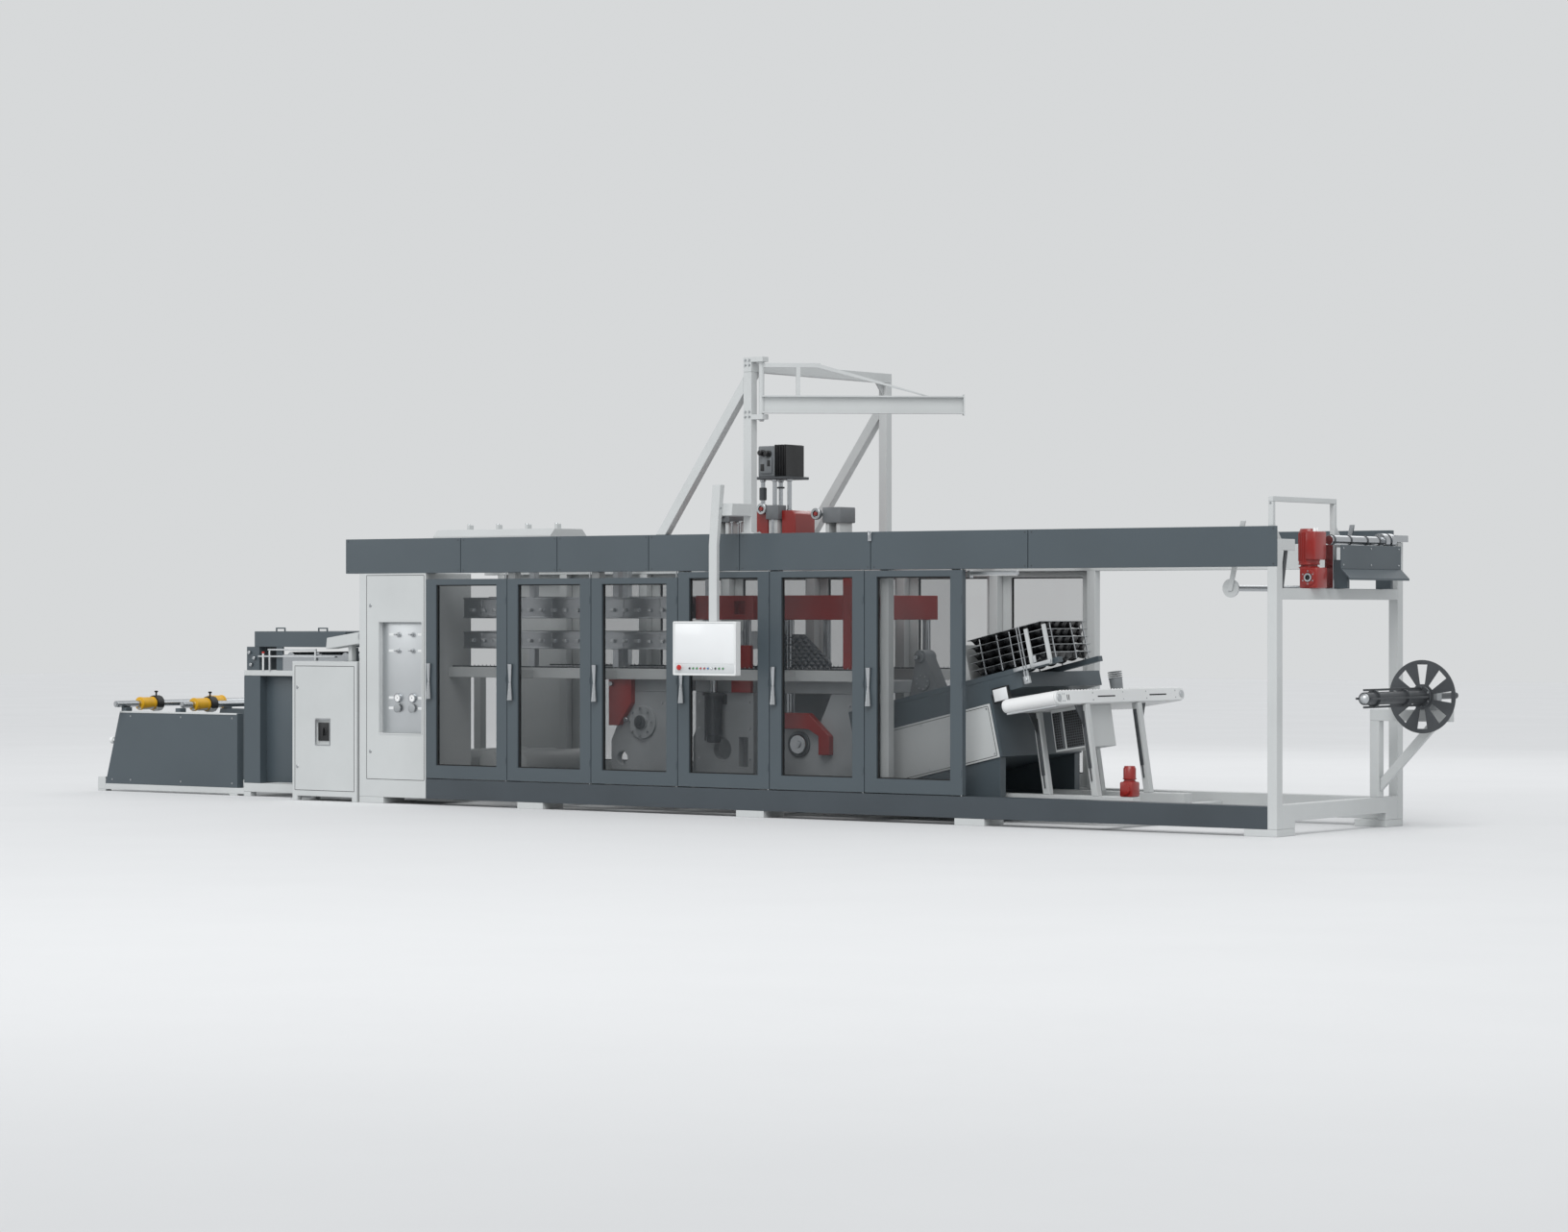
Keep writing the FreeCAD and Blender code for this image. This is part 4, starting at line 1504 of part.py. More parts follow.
build_base()
build_posts()
build_fascias()
build_column()
for door_number in range(1, 7):
    build_door(door_number)
build_hinges()
build_rear_guards()
build_end_frame()
build_hoop()
build_gantry()
build_jib()
build_pod()
build_reel()
build_winder()
build_ovens()
build_presses()
build_roof()
build_stacker()
build_conveyor()
build_infeed()
build_unwinder()
DOC.recompute()
check(NODES)
export(NODES)
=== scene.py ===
import json
import math

import bmesh
import bpy
import mathutils
import numpy as np
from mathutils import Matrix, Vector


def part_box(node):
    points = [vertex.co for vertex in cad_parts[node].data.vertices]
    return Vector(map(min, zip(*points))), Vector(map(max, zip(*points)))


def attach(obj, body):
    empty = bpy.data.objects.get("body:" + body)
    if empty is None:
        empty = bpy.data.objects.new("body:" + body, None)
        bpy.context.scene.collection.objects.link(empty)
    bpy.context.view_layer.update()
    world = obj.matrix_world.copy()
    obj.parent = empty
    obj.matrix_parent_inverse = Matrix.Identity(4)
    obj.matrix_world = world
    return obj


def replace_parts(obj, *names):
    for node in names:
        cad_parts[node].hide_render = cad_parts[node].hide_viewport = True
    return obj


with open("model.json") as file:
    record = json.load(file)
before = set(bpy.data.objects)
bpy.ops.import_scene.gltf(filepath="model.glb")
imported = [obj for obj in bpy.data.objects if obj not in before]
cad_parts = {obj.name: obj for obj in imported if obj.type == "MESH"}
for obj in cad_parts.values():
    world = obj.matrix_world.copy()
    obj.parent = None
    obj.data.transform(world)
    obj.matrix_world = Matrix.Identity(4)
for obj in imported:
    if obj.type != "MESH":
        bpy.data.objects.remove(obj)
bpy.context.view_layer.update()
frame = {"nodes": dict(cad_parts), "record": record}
NODES = frame["nodes"]

# The studio: a pale floor of painted screed that runs to the horizon, soft boxes over the
# operator's side and behind the line, a soft overhead light, and a level camera at standing
# height as in the photo.


def linear(code):
    """A colour's sRGB hex value as linear red, green, blue and alpha."""
    parts = [int(code[i:i + 2], 16) / 255 for i in (0, 2, 4)]
    return [p / 12.92 if p <= 0.04045 else ((p + 0.055) / 1.055) ** 2.4 for p in parts] + [1.0]


def add_node(tree, kind, settings=(), links=(), values=()):
    """One node with its settings, what is linked to its inputs, and its other inputs' values."""
    made = tree.nodes.new(kind)
    for key, value in dict(settings).items():
        setattr(made, key, value)
    for key, value in dict(values).items():
        made.inputs[key].default_value = value
    for key, source in dict(links).items():
        tree.links.new(source, made.inputs[key])
    return made


def grain(tree, cell_mm, detail, stretch=(1.0, 1.0, 1.0)):
    """A noise on object coordinates with cells cell_mm wide, drawn out by stretch on each axis."""
    place = add_node(tree, "ShaderNodeTexCoord")
    scale = [1000 / cell_mm / drawn for drawn in stretch]
    scaled = add_node(tree, "ShaderNodeMapping", links={"Vector": place.outputs["Object"]},
                      values={"Scale": scale})
    return add_node(tree, "ShaderNodeTexNoise", links={"Vector": scaled.outputs[0]},
                    values={"Scale": 1.0, "Detail": detail})


def finish(name, code, rough, cell_mm, relief_mm, drift_mm=700, spread=0.06,
           stretch=(1.0, 1.0, 1.0), **shader):
    """A finished surface: its colour drifts by spread over drift_mm and its roughness with it,
    and a grain of cell_mm lifts it by relief_mm."""
    made = bpy.data.materials.new(name)
    made.use_nodes = True
    tree = made.node_tree
    tree.nodes.clear()
    values = {key.replace("_", " "): value for key, value in shader.items()}
    surface = add_node(tree, "ShaderNodeBsdfPrincipled", values=values)
    add_node(tree, "ShaderNodeOutputMaterial", links={"Surface": surface.outputs[0]})
    drift = grain(tree, drift_mm, 5.0)
    low, high = 0.3, 0.7  # between these lie most of a noise's values
    tint = add_node(tree, "ShaderNodeValToRGB", links={"Fac": drift.outputs[0]})
    for end, at, share in zip(tint.color_ramp.elements, (low, high), (1 - spread, 1 + spread / 2)):
        end.position = at
        end.color = [min(1.0, part * share) for part in linear(code)[:3]] + [1.0]
    gloss = add_node(tree, "ShaderNodeMapRange", links={"Value": drift.outputs[0]},
                     values={"From Min": low, "From Max": high, "To Min": rough * 1.15,
                             "To Max": rough * 0.9})
    height = grain(tree, cell_mm, 2.0, stretch)
    relief = add_node(tree, "ShaderNodeBump", links={"Height": height.outputs[0]},
                      values={"Strength": 0.6, "Distance": relief_mm / 1000})
    for socket, source in (("Base Color", tint), ("Roughness", gloss), ("Normal", relief)):
        tree.links.new(source.outputs[0], surface.inputs[socket])
    return made


def add_object(name, data):
    """A new object of the scene with its data."""
    made = bpy.data.objects.new(name, data)
    bpy.context.scene.collection.objects.link(made)
    return made


floor_reach = 60.0
mesh = bpy.data.meshes.new("studio_floor")
square = floor_reach * np.array([(-1, -1, 0), (1, -1, 0), (1, 1, 0), (-1, 1, 0)])
mesh.from_pydata(square.tolist(), [], [(0, 1, 2, 3)])
mesh.materials.append(finish("painted_screed", "dadbdc", 0.85, 40, 0.3, drift_mm=1800,
                             spread=0.015))
add_object("studio_floor", mesh)

world = bpy.data.worlds.new("studio")
bpy.context.scene.world = world
world.use_nodes = True
tree = world.node_tree
tree.nodes.clear()
path = add_node(tree, "ShaderNodeLightPath")
seen = path.outputs["Is Camera Ray"]
for kind in ("Is Glossy Ray", "Is Transmission Ray"):
    seen = add_node(tree, "ShaderNodeMath", {"operation": "MAXIMUM"},
                    {0: seen, 1: path.outputs[kind]}).outputs[0]
lighting, backdrop = [add_node(tree, "ShaderNodeBackground",
                               values={"Color": linear(code), "Strength": strength})
                      for code, strength in (("e8eaec", 0.72), ("dfe1e2", 0.92))]
chosen = add_node(tree, "ShaderNodeMixShader",
                  links={0: seen, 1: lighting.outputs[0], 2: backdrop.outputs[0]})
add_node(tree, "ShaderNodeOutputWorld", links={"Surface": chosen.outputs[0]})


def soft_box(name, at, aim, wide, tall, watts):
    """A rectangular lamp at one point that faces another."""
    lamp = bpy.data.lights.new(name, "AREA")
    lamp.shape = "RECTANGLE"
    lamp.size, lamp.size_y, lamp.energy = wide, tall, watts
    made = add_object(name, lamp)
    made.location = at
    towards = mathutils.Vector(aim) - made.location
    made.rotation_euler = towards.to_track_quat("-Z", "Y").to_euler()


soft_box("key_box", at=(8, -16, 11), aim=(0, 0, 1), wide=14, tall=7, watts=560)
soft_box("fill_box", at=(-14, -12, 7), aim=(-2, 0, 1), wide=9, tall=6, watts=260)
soft_box("rear_box", at=(-2, 13, 9), aim=(0, 0, 1.2), wide=14, tall=5, watts=260)
sun = bpy.data.lights.new("sky_panel", "SUN")
sun.energy, sun.angle = 1.5, math.radians(35)
add_object("sky_panel", sun).rotation_euler = (math.radians(38), 0, math.radians(28))

camera = bpy.data.cameras.new("camera")
camera.lens, camera.sensor_width, camera.shift_y = 91.13, 36.0, -0.002
camera.clip_end = 200
eye = add_object("camera", camera)
eye.location = (20.414, -26.647, 1.657)
eye.rotation_euler = (math.radians(90), 0, math.radians(36.3))
bpy.context.scene.camera = eye
bpy.context.scene.view_settings.view_transform = "Standard"

# Welded tubes and folded sheet in polyester powder coat, light grey on the frames and slate on
# the guards: satin, with the fine orange peel of a coat that melted on the steel, drawn coarser
# than it is, at 5 mm, to show.
light_coat = finish("powder_coat_light_grey", "c2c5c5", 0.42, 5, 0.05, IOR=1.5)
slate_coat = finish("powder_coat_slate", "485258", 0.4, 5, 0.05, spread=0.07, IOR=1.5)
plinth_coat = finish("powder_coat_dark_slate", "3d454b", 0.45, 5, 0.05, spread=0.12, IOR=1.5)
white_coat = finish("powder_coat_white", "dfe1e1", 0.38, 5, 0.04, spread=0.03, IOR=1.5)
# Castings brushed with machine enamel: a heavier skin with the sand's texture under it, and the
# red one glossier under a clear coat.
cast_enamel = finish("grey_enamel_on_casting", "9da1a3", 0.5, 14, 0.35, drift_mm=250,
                     spread=0.12, IOR=1.5)
red_enamel = finish("red_enamel_on_casting", "93201a", 0.34, 12, 0.2, drift_mm=300, spread=0.16,
                    IOR=1.5, Coat_Weight=0.35, Coat_Roughness=0.15)
black_enamel = finish("black_enamel", "1b1c1e", 0.42, 6, 0.08, drift_mm=200, spread=0.2, IOR=1.5)
# Bare metals: ground and hard-chromed bars, brushed stainless whose lines follow the machine's
# length (drawn at 2 mm to show), satin anodised aluminium, zinc-plated screws and blackened steel.
hard_chrome = finish("hard_chrome", "b4b7ba", 0.18, 3, 0.01, drift_mm=300, spread=0.05,
                     Metallic=1.0)
brushed_steel = finish("brushed_stainless", "b9bcbf", 0.34, 2, 0.03, spread=0.08,
                       stretch=(30, 1, 1), Metallic=1.0)
satin_aluminium = finish("satin_anodised_aluminium", "c6c9cb", 0.4, 2, 0.02, spread=0.05,
                         Metallic=1.0)
zinc_plate = finish("zinc_plated_steel", "b3b6b8", 0.3, 4, 0.02, drift_mm=60, spread=0.15,
                    Metallic=1.0)
dark_steel = finish("blackened_steel", "515457", 0.42, 3, 0.03, drift_mm=150, spread=0.14,
                    Metallic=0.6)
# Plastics and rubber: moulded polyurethane belting, glossy black polystyrene that is drawn into
# trays, black rubber, and smoked polycarbonate sheet, clear enough to see the stations through.
belt_urethane = finish("white_polyurethane_belt", "e2e3e3", 0.4, 3, 0.12, spread=0.05, IOR=1.5)
tray_styrene = finish("black_polystyrene_sheet", "1d1e20", 0.24, 60, 0.4, drift_mm=200,
                      spread=0.2, IOR=1.59)
black_rubber = finish("black_rubber", "191a1b", 0.7, 3, 0.1, drift_mm=80, spread=0.25, IOR=1.52)
smoked_sheet = finish("smoked_polycarbonate", "2c3236", 0.06, 300, 0.02, spread=0.1, IOR=1.58,
                      Alpha=0.2)

FINISH = {
    "pale_grey": light_coat, "slate_grey": slate_coat, "plinth_grey": plinth_coat,
    "board_grey": satin_aluminium, "panel_white": white_coat, "belt_white": belt_urethane,
    "machine_red": red_enamel, "cast_grey": cast_enamel, "bright_steel": hard_chrome,
    "brushed": brushed_steel, "drive_black": black_enamel, "tray_black": tray_styrene,
    "smoked_glass": smoked_sheet,
}
EDGES = {"pale_grey": 0.004, "slate_grey": 0.003, "plinth_grey": 0.004, "cast_grey": 0.006,
         "machine_red": 0.005}


def round_edges(made, width):
    """Rounds the edges that bend by more than 34 degrees."""
    edge = made.modifiers.new("edge", "BEVEL")
    edge.width, edge.segments = width, 2
    edge.limit_method, edge.angle_limit = "ANGLE", math.radians(34)


# Every CAD node: its triangles welded, flat faces joined (the doors' leaves, with their windows,
# stay as they are), edges rounded and its slot's material.
for row in frame["record"]["subparts"]:
    made = NODES[row["node"]]
    made.data.materials.clear()
    made.data.materials.append(FINISH[row["material_slot"]])
    made.data.polygons.foreach_set("use_smooth", np.ones(len(made.data.polygons), dtype=bool))
    made.modifiers.new("weld", "WELD").merge_threshold = 1e-5
    if not row["node"].startswith("door_"):
        flat = made.modifiers.new("flat", "DECIMATE")
        flat.decimate_type, flat.angle_limit = "DISSOLVE", math.radians(0.5)
        flat.delimit = {"MATERIAL"}
    round_edges(made, EDGES.get(row["material_slot"], 0.002))
    made.modifiers.new("shade", "WEIGHTED_NORMAL").keep_sharp = False

# The door handles: solid bars turned to a waist, so that a hand closes round them, ground and
# hard chromed, each held by two bosses that come through the leaf's outer stile.
QUARTERS = np.array([[1, 1], [-1, 1], [-1, -1], [1, -1]])


def shell(rows, closed=False):
    """Points [row, column] closed round their columns, as quads between neighbouring rows, with a
    face over each end unless the rows close as well."""
    index = np.arange(rows.shape[0] * rows.shape[1]).reshape(rows.shape[:2])
    near, far = (index, np.roll(index, -1, 0)) if closed else (index[:-1], index[1:])
    quads = np.stack([near, np.roll(near, -1, 1), np.roll(far, -1, 1), far], -1)
    ends = [] if closed else [index[0][::-1].tolist(), index[-1].tolist()]
    return rows.reshape(-1, 3), quads.reshape(-1, 4).tolist() + ends


def lathe(profile, at, along="Z", sides=32):
    """A turned form: row i is a circle of radius r_i at distance d_i from a point, on an axis."""
    far, radius = np.array(profile, dtype=float).T
    angle = np.arange(sides) * 2 * math.pi / sides
    rows = np.stack([np.outer(radius, np.cos(angle)), np.outer(radius, np.sin(angle)),
                     np.repeat(far[:, None], sides, 1)], -1)
    order = {"X": [2, 0, 1], "Y": [1, 2, 0], "Z": [0, 1, 2]}[along]
    return shell(rows[..., order] + np.array(at))


def disc(at, along, radius, length, edge=0.002, sides=32):
    """A short turned form with broken edges, from a point along an axis; length may be negative."""
    inner = math.copysign(min(edge, abs(length) / 2), length)
    return lathe([(0, radius - edge), (inner, radius), (length - inner, radius),
                  (length, radius - edge)], at, along, sides)


def octants(steps):
    """Angles from 0 to 360 degrees in four equal runs, one for each corner of a rounded square."""
    quarter = np.linspace(0, math.pi / 2, steps)
    return np.concatenate([quarter + k * math.pi / 2 for k in range(4)])


def block(low, high, edge=0.003, steps=3):
    """A box with rounded edges: a globe of radius edge whose eight octants move to the corners."""
    low, high = np.minimum(low, high).astype(float), np.maximum(low, high).astype(float)
    edge = min(edge, (high - low).min() / 2)
    turn = octants(steps)
    rise = np.concatenate([turn[:steps] - math.pi / 2, turn[:steps]])
    globe = np.stack([np.outer(np.cos(rise), np.cos(turn)), np.outer(np.cos(rise), np.sin(turn)),
                      np.repeat(np.sin(rise)[:, None], len(turn), 1)], -1)
    octant = np.empty_like(globe)
    octant[..., :2] = np.repeat(QUARTERS, steps, axis=0)
    octant[..., 2] = np.repeat([-1, 1], steps)[:, None]
    return shell((low + high) / 2 + octant * ((high - low) / 2 - edge) + edge * globe)


def piece(name, forms, material, body="machine_frame", bevel=0.0):
    """One object of closed forms: doubles merged, normals outward, smooth up to 38 degrees."""
    starts = np.cumsum([0] + [len(points) for points, _ in forms])
    faces = [[corner + start for corner in face]
             for (_, group), start in zip(forms, starts) for face in group]
    mesh = bpy.data.meshes.new(name)
    mesh.from_pydata(np.concatenate([points for points, _ in forms]).tolist(), [], faces)
    work = bmesh.new()
    work.from_mesh(mesh)
    bmesh.ops.remove_doubles(work, verts=work.verts, dist=1e-5)
    bmesh.ops.recalc_face_normals(work, faces=work.faces)
    work.to_mesh(mesh)
    work.free()
    mesh.shade_smooth()
    mesh.set_sharp_from_angle(angle=math.radians(38))
    mesh.materials.append(material)
    made = add_object(name, mesh)
    if bevel:
        round_edges(made, bevel)
    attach(made, body)
    return made


FRONT, REAR = -0.88, 1.12
DOOR_BODY = {n: "machine_frame" if n == 4 else f"guard_door_{n}" for n in range(1, 7)}
grip_low, grip_high, waist = 0.917, 1.222, 0.0128
share = np.linspace(-1, 1, 31)
flare = np.where(share < 0, 0.0297, 0.0237) - waist
grip = np.column_stack([grip_low + (share + 1) / 2 * (grip_high - grip_low),
                        waist + flare * np.abs(share) ** 0.92])
grip = np.vstack([(grip_low - 0.002, 0.025), grip, (grip_high + 0.002, 0.019)])
for n, body in DOOR_BODY.items():
    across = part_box(f"door_{n}")[0][0] + 0.0445
    bosses = [disc((across, FRONT - 0.003, z), "Y", 0.016, -0.004) for z in (0.958, 1.184)]
    piece(f"door_{n}_handle", [lathe(grip, (across, FRONT - 0.014, 0), sides=48)] + bosses,
          hard_chrome, body)

# The panes' seals: black rubber sections pressed round the smoked sheet on both faces of each
# leaf and of each fixed guard, bent round the window's small corners.


def ring(low, high, corner, width, start, end):
    """A flat ring inside an opening of X and Z: a rounded rectangle carries a section of that
    width, which reaches from start to end along Y."""
    steps = 5
    turn = octants(steps)
    out = np.column_stack([np.cos(turn), np.sin(turn)])
    low, high = np.array(low, dtype=float), np.array(high, dtype=float)
    corners = np.repeat(QUARTERS, steps, axis=0) * ((high - low) / 2 - corner)
    line = (low + high) / 2 + corners + out * (corner - width)
    section = np.array([(0, start), (width, start), (width, end), (0, end)])
    rows = np.empty((len(line), 4, 3))
    rows[..., ::2] = line[:, None] + out[:, None] * section[None, :, :1]
    rows[..., 1] = section[:, 1]
    return shell(rows, closed=True)


seal_wide, seal_proud, window_corner = 0.009, 0.005, 0.014
rear_low, rear_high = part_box("rear_glass")
for n, body in DOOR_BODY.items():
    low, high = map(np.array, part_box(f"door_{n}_glass"))
    window = (low[::2], high[::2], window_corner, seal_wide)
    seals = [ring(*window, y, y + seal_proud) for y in (-0.864, -0.851)]
    piece(f"door_{n}_seal", seals, black_rubber, body)
    window = ((low[0], rear_low[2]), (high[0], rear_high[2]), window_corner, seal_wide)
    seals = [ring(*window, y, y + seal_proud) for y in (rear_low[1] - seal_proud, rear_high[1])]
    piece(f"rear_guard_{n}_seal", seals, black_rubber)

# The instrument board in the column's recess: satin aluminium with two key valves over two gauges
# and two pressure regulators, each beside a bare tag.


def extrude(outline, start, length, along="Y"):
    """A flat outline carried straight along an axis, with both ends closed."""
    flat = np.array(outline, dtype=float)
    rows = np.stack([np.column_stack([flat, np.full(len(flat), far)])
                     for far in (start, start + length)])
    return shell(rows[..., {"X": [2, 0, 1], "Y": [0, 2, 1], "Z": [0, 1, 2]}[along]])


board_low, board_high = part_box("instrument_board")
board_face, board_play = -0.834, 0.001
plate = block((board_low[0] + board_play, board_face, board_low[2] + board_play),
              (board_high[0] - board_play, board_high[1], board_high[2] - board_play), 0.002)
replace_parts(piece("board_plate", [plate], satin_aluminium), "instrument_board")
dial_white = finish("printed_dial_white", "eceded", 0.35, 2, 0.01, drift_mm=40, spread=0.02)
valve_heights, gauge_z, regulator_z = (1.469, 1.328), 0.919, 0.829
needle = 0.021 * np.array([math.cos(2.1), math.sin(2.1)])
rims, faces, marks, caps, tags, valves = [], [], [], [], [], []
for across, tag_step in ((-2.701, -0.115), (-2.532, 0.052)):
    rims.append(lathe([(0, 0.041), (-0.02, 0.041), (-0.024, 0.038), (-0.024, 0.033),
                       (-0.019, 0.032), (-0.019, 0)], (across, board_face, gauge_z), "Y"))
    faces.append(disc((across, board_face - 0.0188, gauge_z), "Y", 0.0318, -0.0008, 0.0002))
    for tick in np.radians(np.linspace(-45, 225, 11)):
        at = np.array([math.cos(tick), 0, math.sin(tick)]) * 0.026
        at += (across, board_face - 0.0198, gauge_z)
        marks.append(block(at - 0.0013, at + 0.0013, 0.0004, 2))
    marks.append(extrude([(across + 0.0015, gauge_z - 0.0015),
                          (across + needle[0], gauge_z + needle[1]),
                          (across - 0.0015, gauge_z + 0.0015)], board_face - 0.0208, 0.0008))
    marks.append(disc((across, board_face - 0.0195, gauge_z), "Y", 0.004, -0.003, 0.001, 16))
    caps.append(lathe([(0, 0.02), (-0.012, 0.02), (-0.014, 0.036), (-0.026, 0.038),
                       (-0.03, 0.034), (-0.034, 0.02), (-0.035, 0)],
                      (across, board_face, regulator_z), "Y"))
    for height in valve_heights:
        valves.append(lathe([(0, 0.024), (-0.006, 0.024), (-0.008, 0.017), (-0.022, 0.016),
                             (-0.024, 0.012), (-0.024, 0)], (across, board_face, height), "Y"))
        valves.append(block((across - 0.042, board_face - 0.024, height - 0.006),
                            (across + 0.012, board_face - 0.016, height + 0.008), 0.004))
    for height in (*valve_heights, gauge_z, regulator_z):
        side = across + tag_step
        tags.append(block((side, board_face - 0.0012, height - 0.011),
                          (side + 0.062, board_face + 0.001, height + 0.011), 0.001))
for name, forms, material in (("gauge_rims", rims, hard_chrome), ("gauge_dials", faces, dial_white),
                              ("gauge_marks", marks, black_rubber),
                              ("regulators", caps, cast_enamel), ("valves", valves, zinc_plate),
                              ("tags", tags, white_coat)):
    piece(f"board_{name}", forms, material)

# The column's and the cabinet's sheet doors: round each leaf a thin black ring, a hair proud, is
# painted shade for the shadow in the gap; quarter-turn locks of zinc, and the main switch in its
# recess on the infeed cabinet.
gap_y = (FRONT - 0.0012, FRONT + 0.002)
cabinet_low, cabinet_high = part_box("infeed_cabinet")
# The gap rings take the black rubber only for its colour: painted shade for the gaps' shadow.
piece("column_door_gap_shade", [ring((-3.036, 0.208), (-2.366, 1.985), 0.006, 0.004, *gap_y)],
      black_rubber)
piece("column_recess_trim", [ring((-2.897, 0.603), (-2.388, 1.585), 0.012, 0.008, FRONT - 0.004,
                                  FRONT + 0.002)], light_coat)
piece("cabinet_door_gap_shade", [ring((cabinet_low[0] + 0.03, 0.09), (cabinet_high[0] - 0.03, 1.19),
                                0.006, 0.004, *gap_y)], black_rubber)
lock_places = ((-2.99, 0.45), (-2.99, 1.72), (-3.86, 0.3), (-3.86, 1.0))
locks = [disc((x, FRONT + 0.001, z), "Y", 0.015, -0.006, 0.002, 24) for x, z in lock_places]
locks += [block((x - 0.0025, FRONT - 0.0075, z - 0.009), (x + 0.0025, FRONT - 0.004, z + 0.009),
                0.001) for x, z in lock_places]
piece("door_locks", locks, zinc_plate)
switch_x, switch_z, recess = -3.556, 0.61, FRONT + 0.03
piece("main_switch_plate", [
    block((switch_x - 0.072, recess - 0.012, switch_z - 0.08),
          (switch_x + 0.072, recess + 0.001, switch_z + 0.08), 0.006),
    disc((switch_x, recess - 0.01, switch_z), "Y", 0.032, -0.008, 0.002),
    block((switch_x - 0.008, recess - 0.034, switch_z - 0.035),
          (switch_x + 0.008, recess - 0.016, switch_z + 0.035), 0.004)], black_enamel)
piece("main_switch_ring", [ring((-3.646, 0.49), (-3.466, 0.725), 0.01, 0.007, FRONT - 0.003,
                                FRONT + 0.002)], zinc_plate)

# The operator panel: a white sheet-metal enclosure with a bare pale screen over a strip of lit
# push buttons and a red stop mushroom, hung from its arm on a grey swivel cup.
panel_face, panel_top = -1.23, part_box("operator_panel")[1][2]
screen_left, screen_right = 0.649, 1.248
screen_glass = finish("white_lit_screen", "e6e8e9", 0.12, 80, 0.01, drift_mm=400, spread=0.03,
                      IOR=1.5)
strip_grey = finish("anodised_strip", "c9cccd", 0.4, 3, 0.02, spread=0.04, IOR=1.5)
piece("panel_screen", [block((screen_left, panel_face - 0.004, 1.247),
                             (screen_right, panel_face + 0.004, 1.571), 0.003)],
      screen_glass, "swivel_panel")
piece("panel_strip", [block((screen_left, panel_face - 0.003, 1.17),
                            (screen_right, panel_face + 0.004, 1.241), 0.002)],
      strip_grey, "swivel_panel")
piece("panel_rim", [ring((0.6295, 1.1525), (1.2675, 1.5875), 0.012, 0.011, panel_face - 0.006,
                         panel_face + 0.004)], white_coat, "swivel_panel")
LAMPS = {"black": "18191b", "green": "2f8a3c", "red": "b3201c", "blue": "3a6fae",
         "white": "e8e9ea"}
shades = {shade: finish(f"moulded_button_{shade}", code, 0.3, 3, 0.02, drift_mm=20, spread=0.08,
                        IOR=1.5) for shade, code in LAMPS.items()}
buttons = (("black", 0.800), ("green", 0.836), ("green", 0.874), ("red", 0.912), ("red", 0.950),
           ("blue", 0.987), ("white", 1.022), ("black", 1.062), ("green", 1.099), ("green", 1.138))
button_y, button_z = panel_face - 0.003, 1.209
dome = [(0.001, 0.0075), (-0.006, 0.0075), (-0.0085, 0.005), (-0.009, 0)]
collar = [(0.001, 0.0115), (-0.003, 0.0115), (-0.004, 0.009), (-0.004, 0.0078), (0.001, 0.0078)]
for shade, material in shades.items():
    piece(f"panel_buttons_{shade}", [lathe(dome, (x, button_y, button_z), "Y", 20)
                                     for name, x in buttons if name == shade],
          material, "swivel_panel")
piece("panel_button_collars", [lathe(collar, (x, button_y, button_z), "Y", 24)
                               for _, x in buttons], hard_chrome, "swivel_panel")
piece("panel_stop", [lathe([(0.0, 0.0125), (-0.012, 0.0125), (-0.012, 0.0215), (-0.019, 0.0225),
                            (-0.0245, 0.019), (-0.0265, 0.01), (-0.027, 0)],
                           (0.70, panel_face, 1.215), "Y", 40)], shades["red"], "swivel_panel")
piece("arm_swivel_cup", [lathe([(0.001, 0.022), (0.001, 0.027), (0.006, 0.027), (0.010, 0.020)],
                               (1.022, -1.194, panel_top))], light_coat)
# The back vents are thin black blocks: painted shade for the vents' openings.
piece("panel_back_vent_shades", [block((x, -1.172, 1.25), (x + 0.04, -1.168, 1.256), 0.001, 2)
                           for x in 0.75 + 0.06 * np.arange(7)], black_rubber, "swivel_panel")

# The roof drive over the forming stations: a grey servo with a black finned heat sink stands on
# chromed columns over two red bearing blocks, between three gear cases with their ring covers.
servo_grey = finish("servo_die_casting", "74787b", 0.45, 8, 0.12, drift_mm=120, spread=0.1,
                    IOR=1.5)
deck_top, column_top = 2.22, 2.775
deck = piece("roof_drive_deck", [block((0.10, -0.08, deck_top - 0.02), (1.50, 0.34, deck_top),
                                       0.003)], dark_steel)
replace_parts(deck, "roof_drive")
bearing_blocks = (
    [(0.47, deck_top), (0.69, deck_top), (0.69, 2.46), (0.64, 2.51), (0.52, 2.51), (0.47, 2.46)],
    [(0.83, deck_top), (0.97, deck_top), (0.97, 2.48), (0.93, 2.51), (0.83, 2.51)])
piece("roof_bearing_blocks", [extrude(outline, -0.02, 0.28) for outline in bearing_blocks],
      red_enamel, bevel=0.006)
column = [(2.50, 0.024), (2.52, 0.024), (2.524, 0.019), (2.752, 0.019), (2.756, 0.026),
          (column_top, 0.026)]
rods = [lathe(column, (x, y, 0)) for x, y in ((0.585, 0.05), (0.73, 0.02), (0.86, 0.05),
                                             (0.66, 0.2))]
rods += [disc((0.76, y, deck_top - 0.005), "Z", 0.018, 0.30) for y in (-0.04, 0.26)]
piece("roof_drive_columns", rods, hard_chrome)
piece("roof_drive_sleeves", [
    lathe([(2.60, 0.027), (2.605, 0.031), (2.70, 0.031), (2.705, 0.027)], (0.585, 0.05, 0)),
    lathe([(2.70, 0.029), (2.703, 0.033), (2.712, 0.033), (2.715, 0.029)], (0.66, 0.2, 0))],
      dark_steel)
piece("servo_flange", [block((0.56, -0.045, 2.770), (0.90, 0.275, 2.794), 0.006)], dark_steel)
piece("servo_case", [block((0.585, -0.02, 2.793), (0.755, 0.25, 3.050), 0.01),
                     block((0.605, -0.034, 2.82), (0.735, -0.016, 2.955), 0.006)], servo_grey)
fin_pitch, fin_thick = 0.016, 0.006
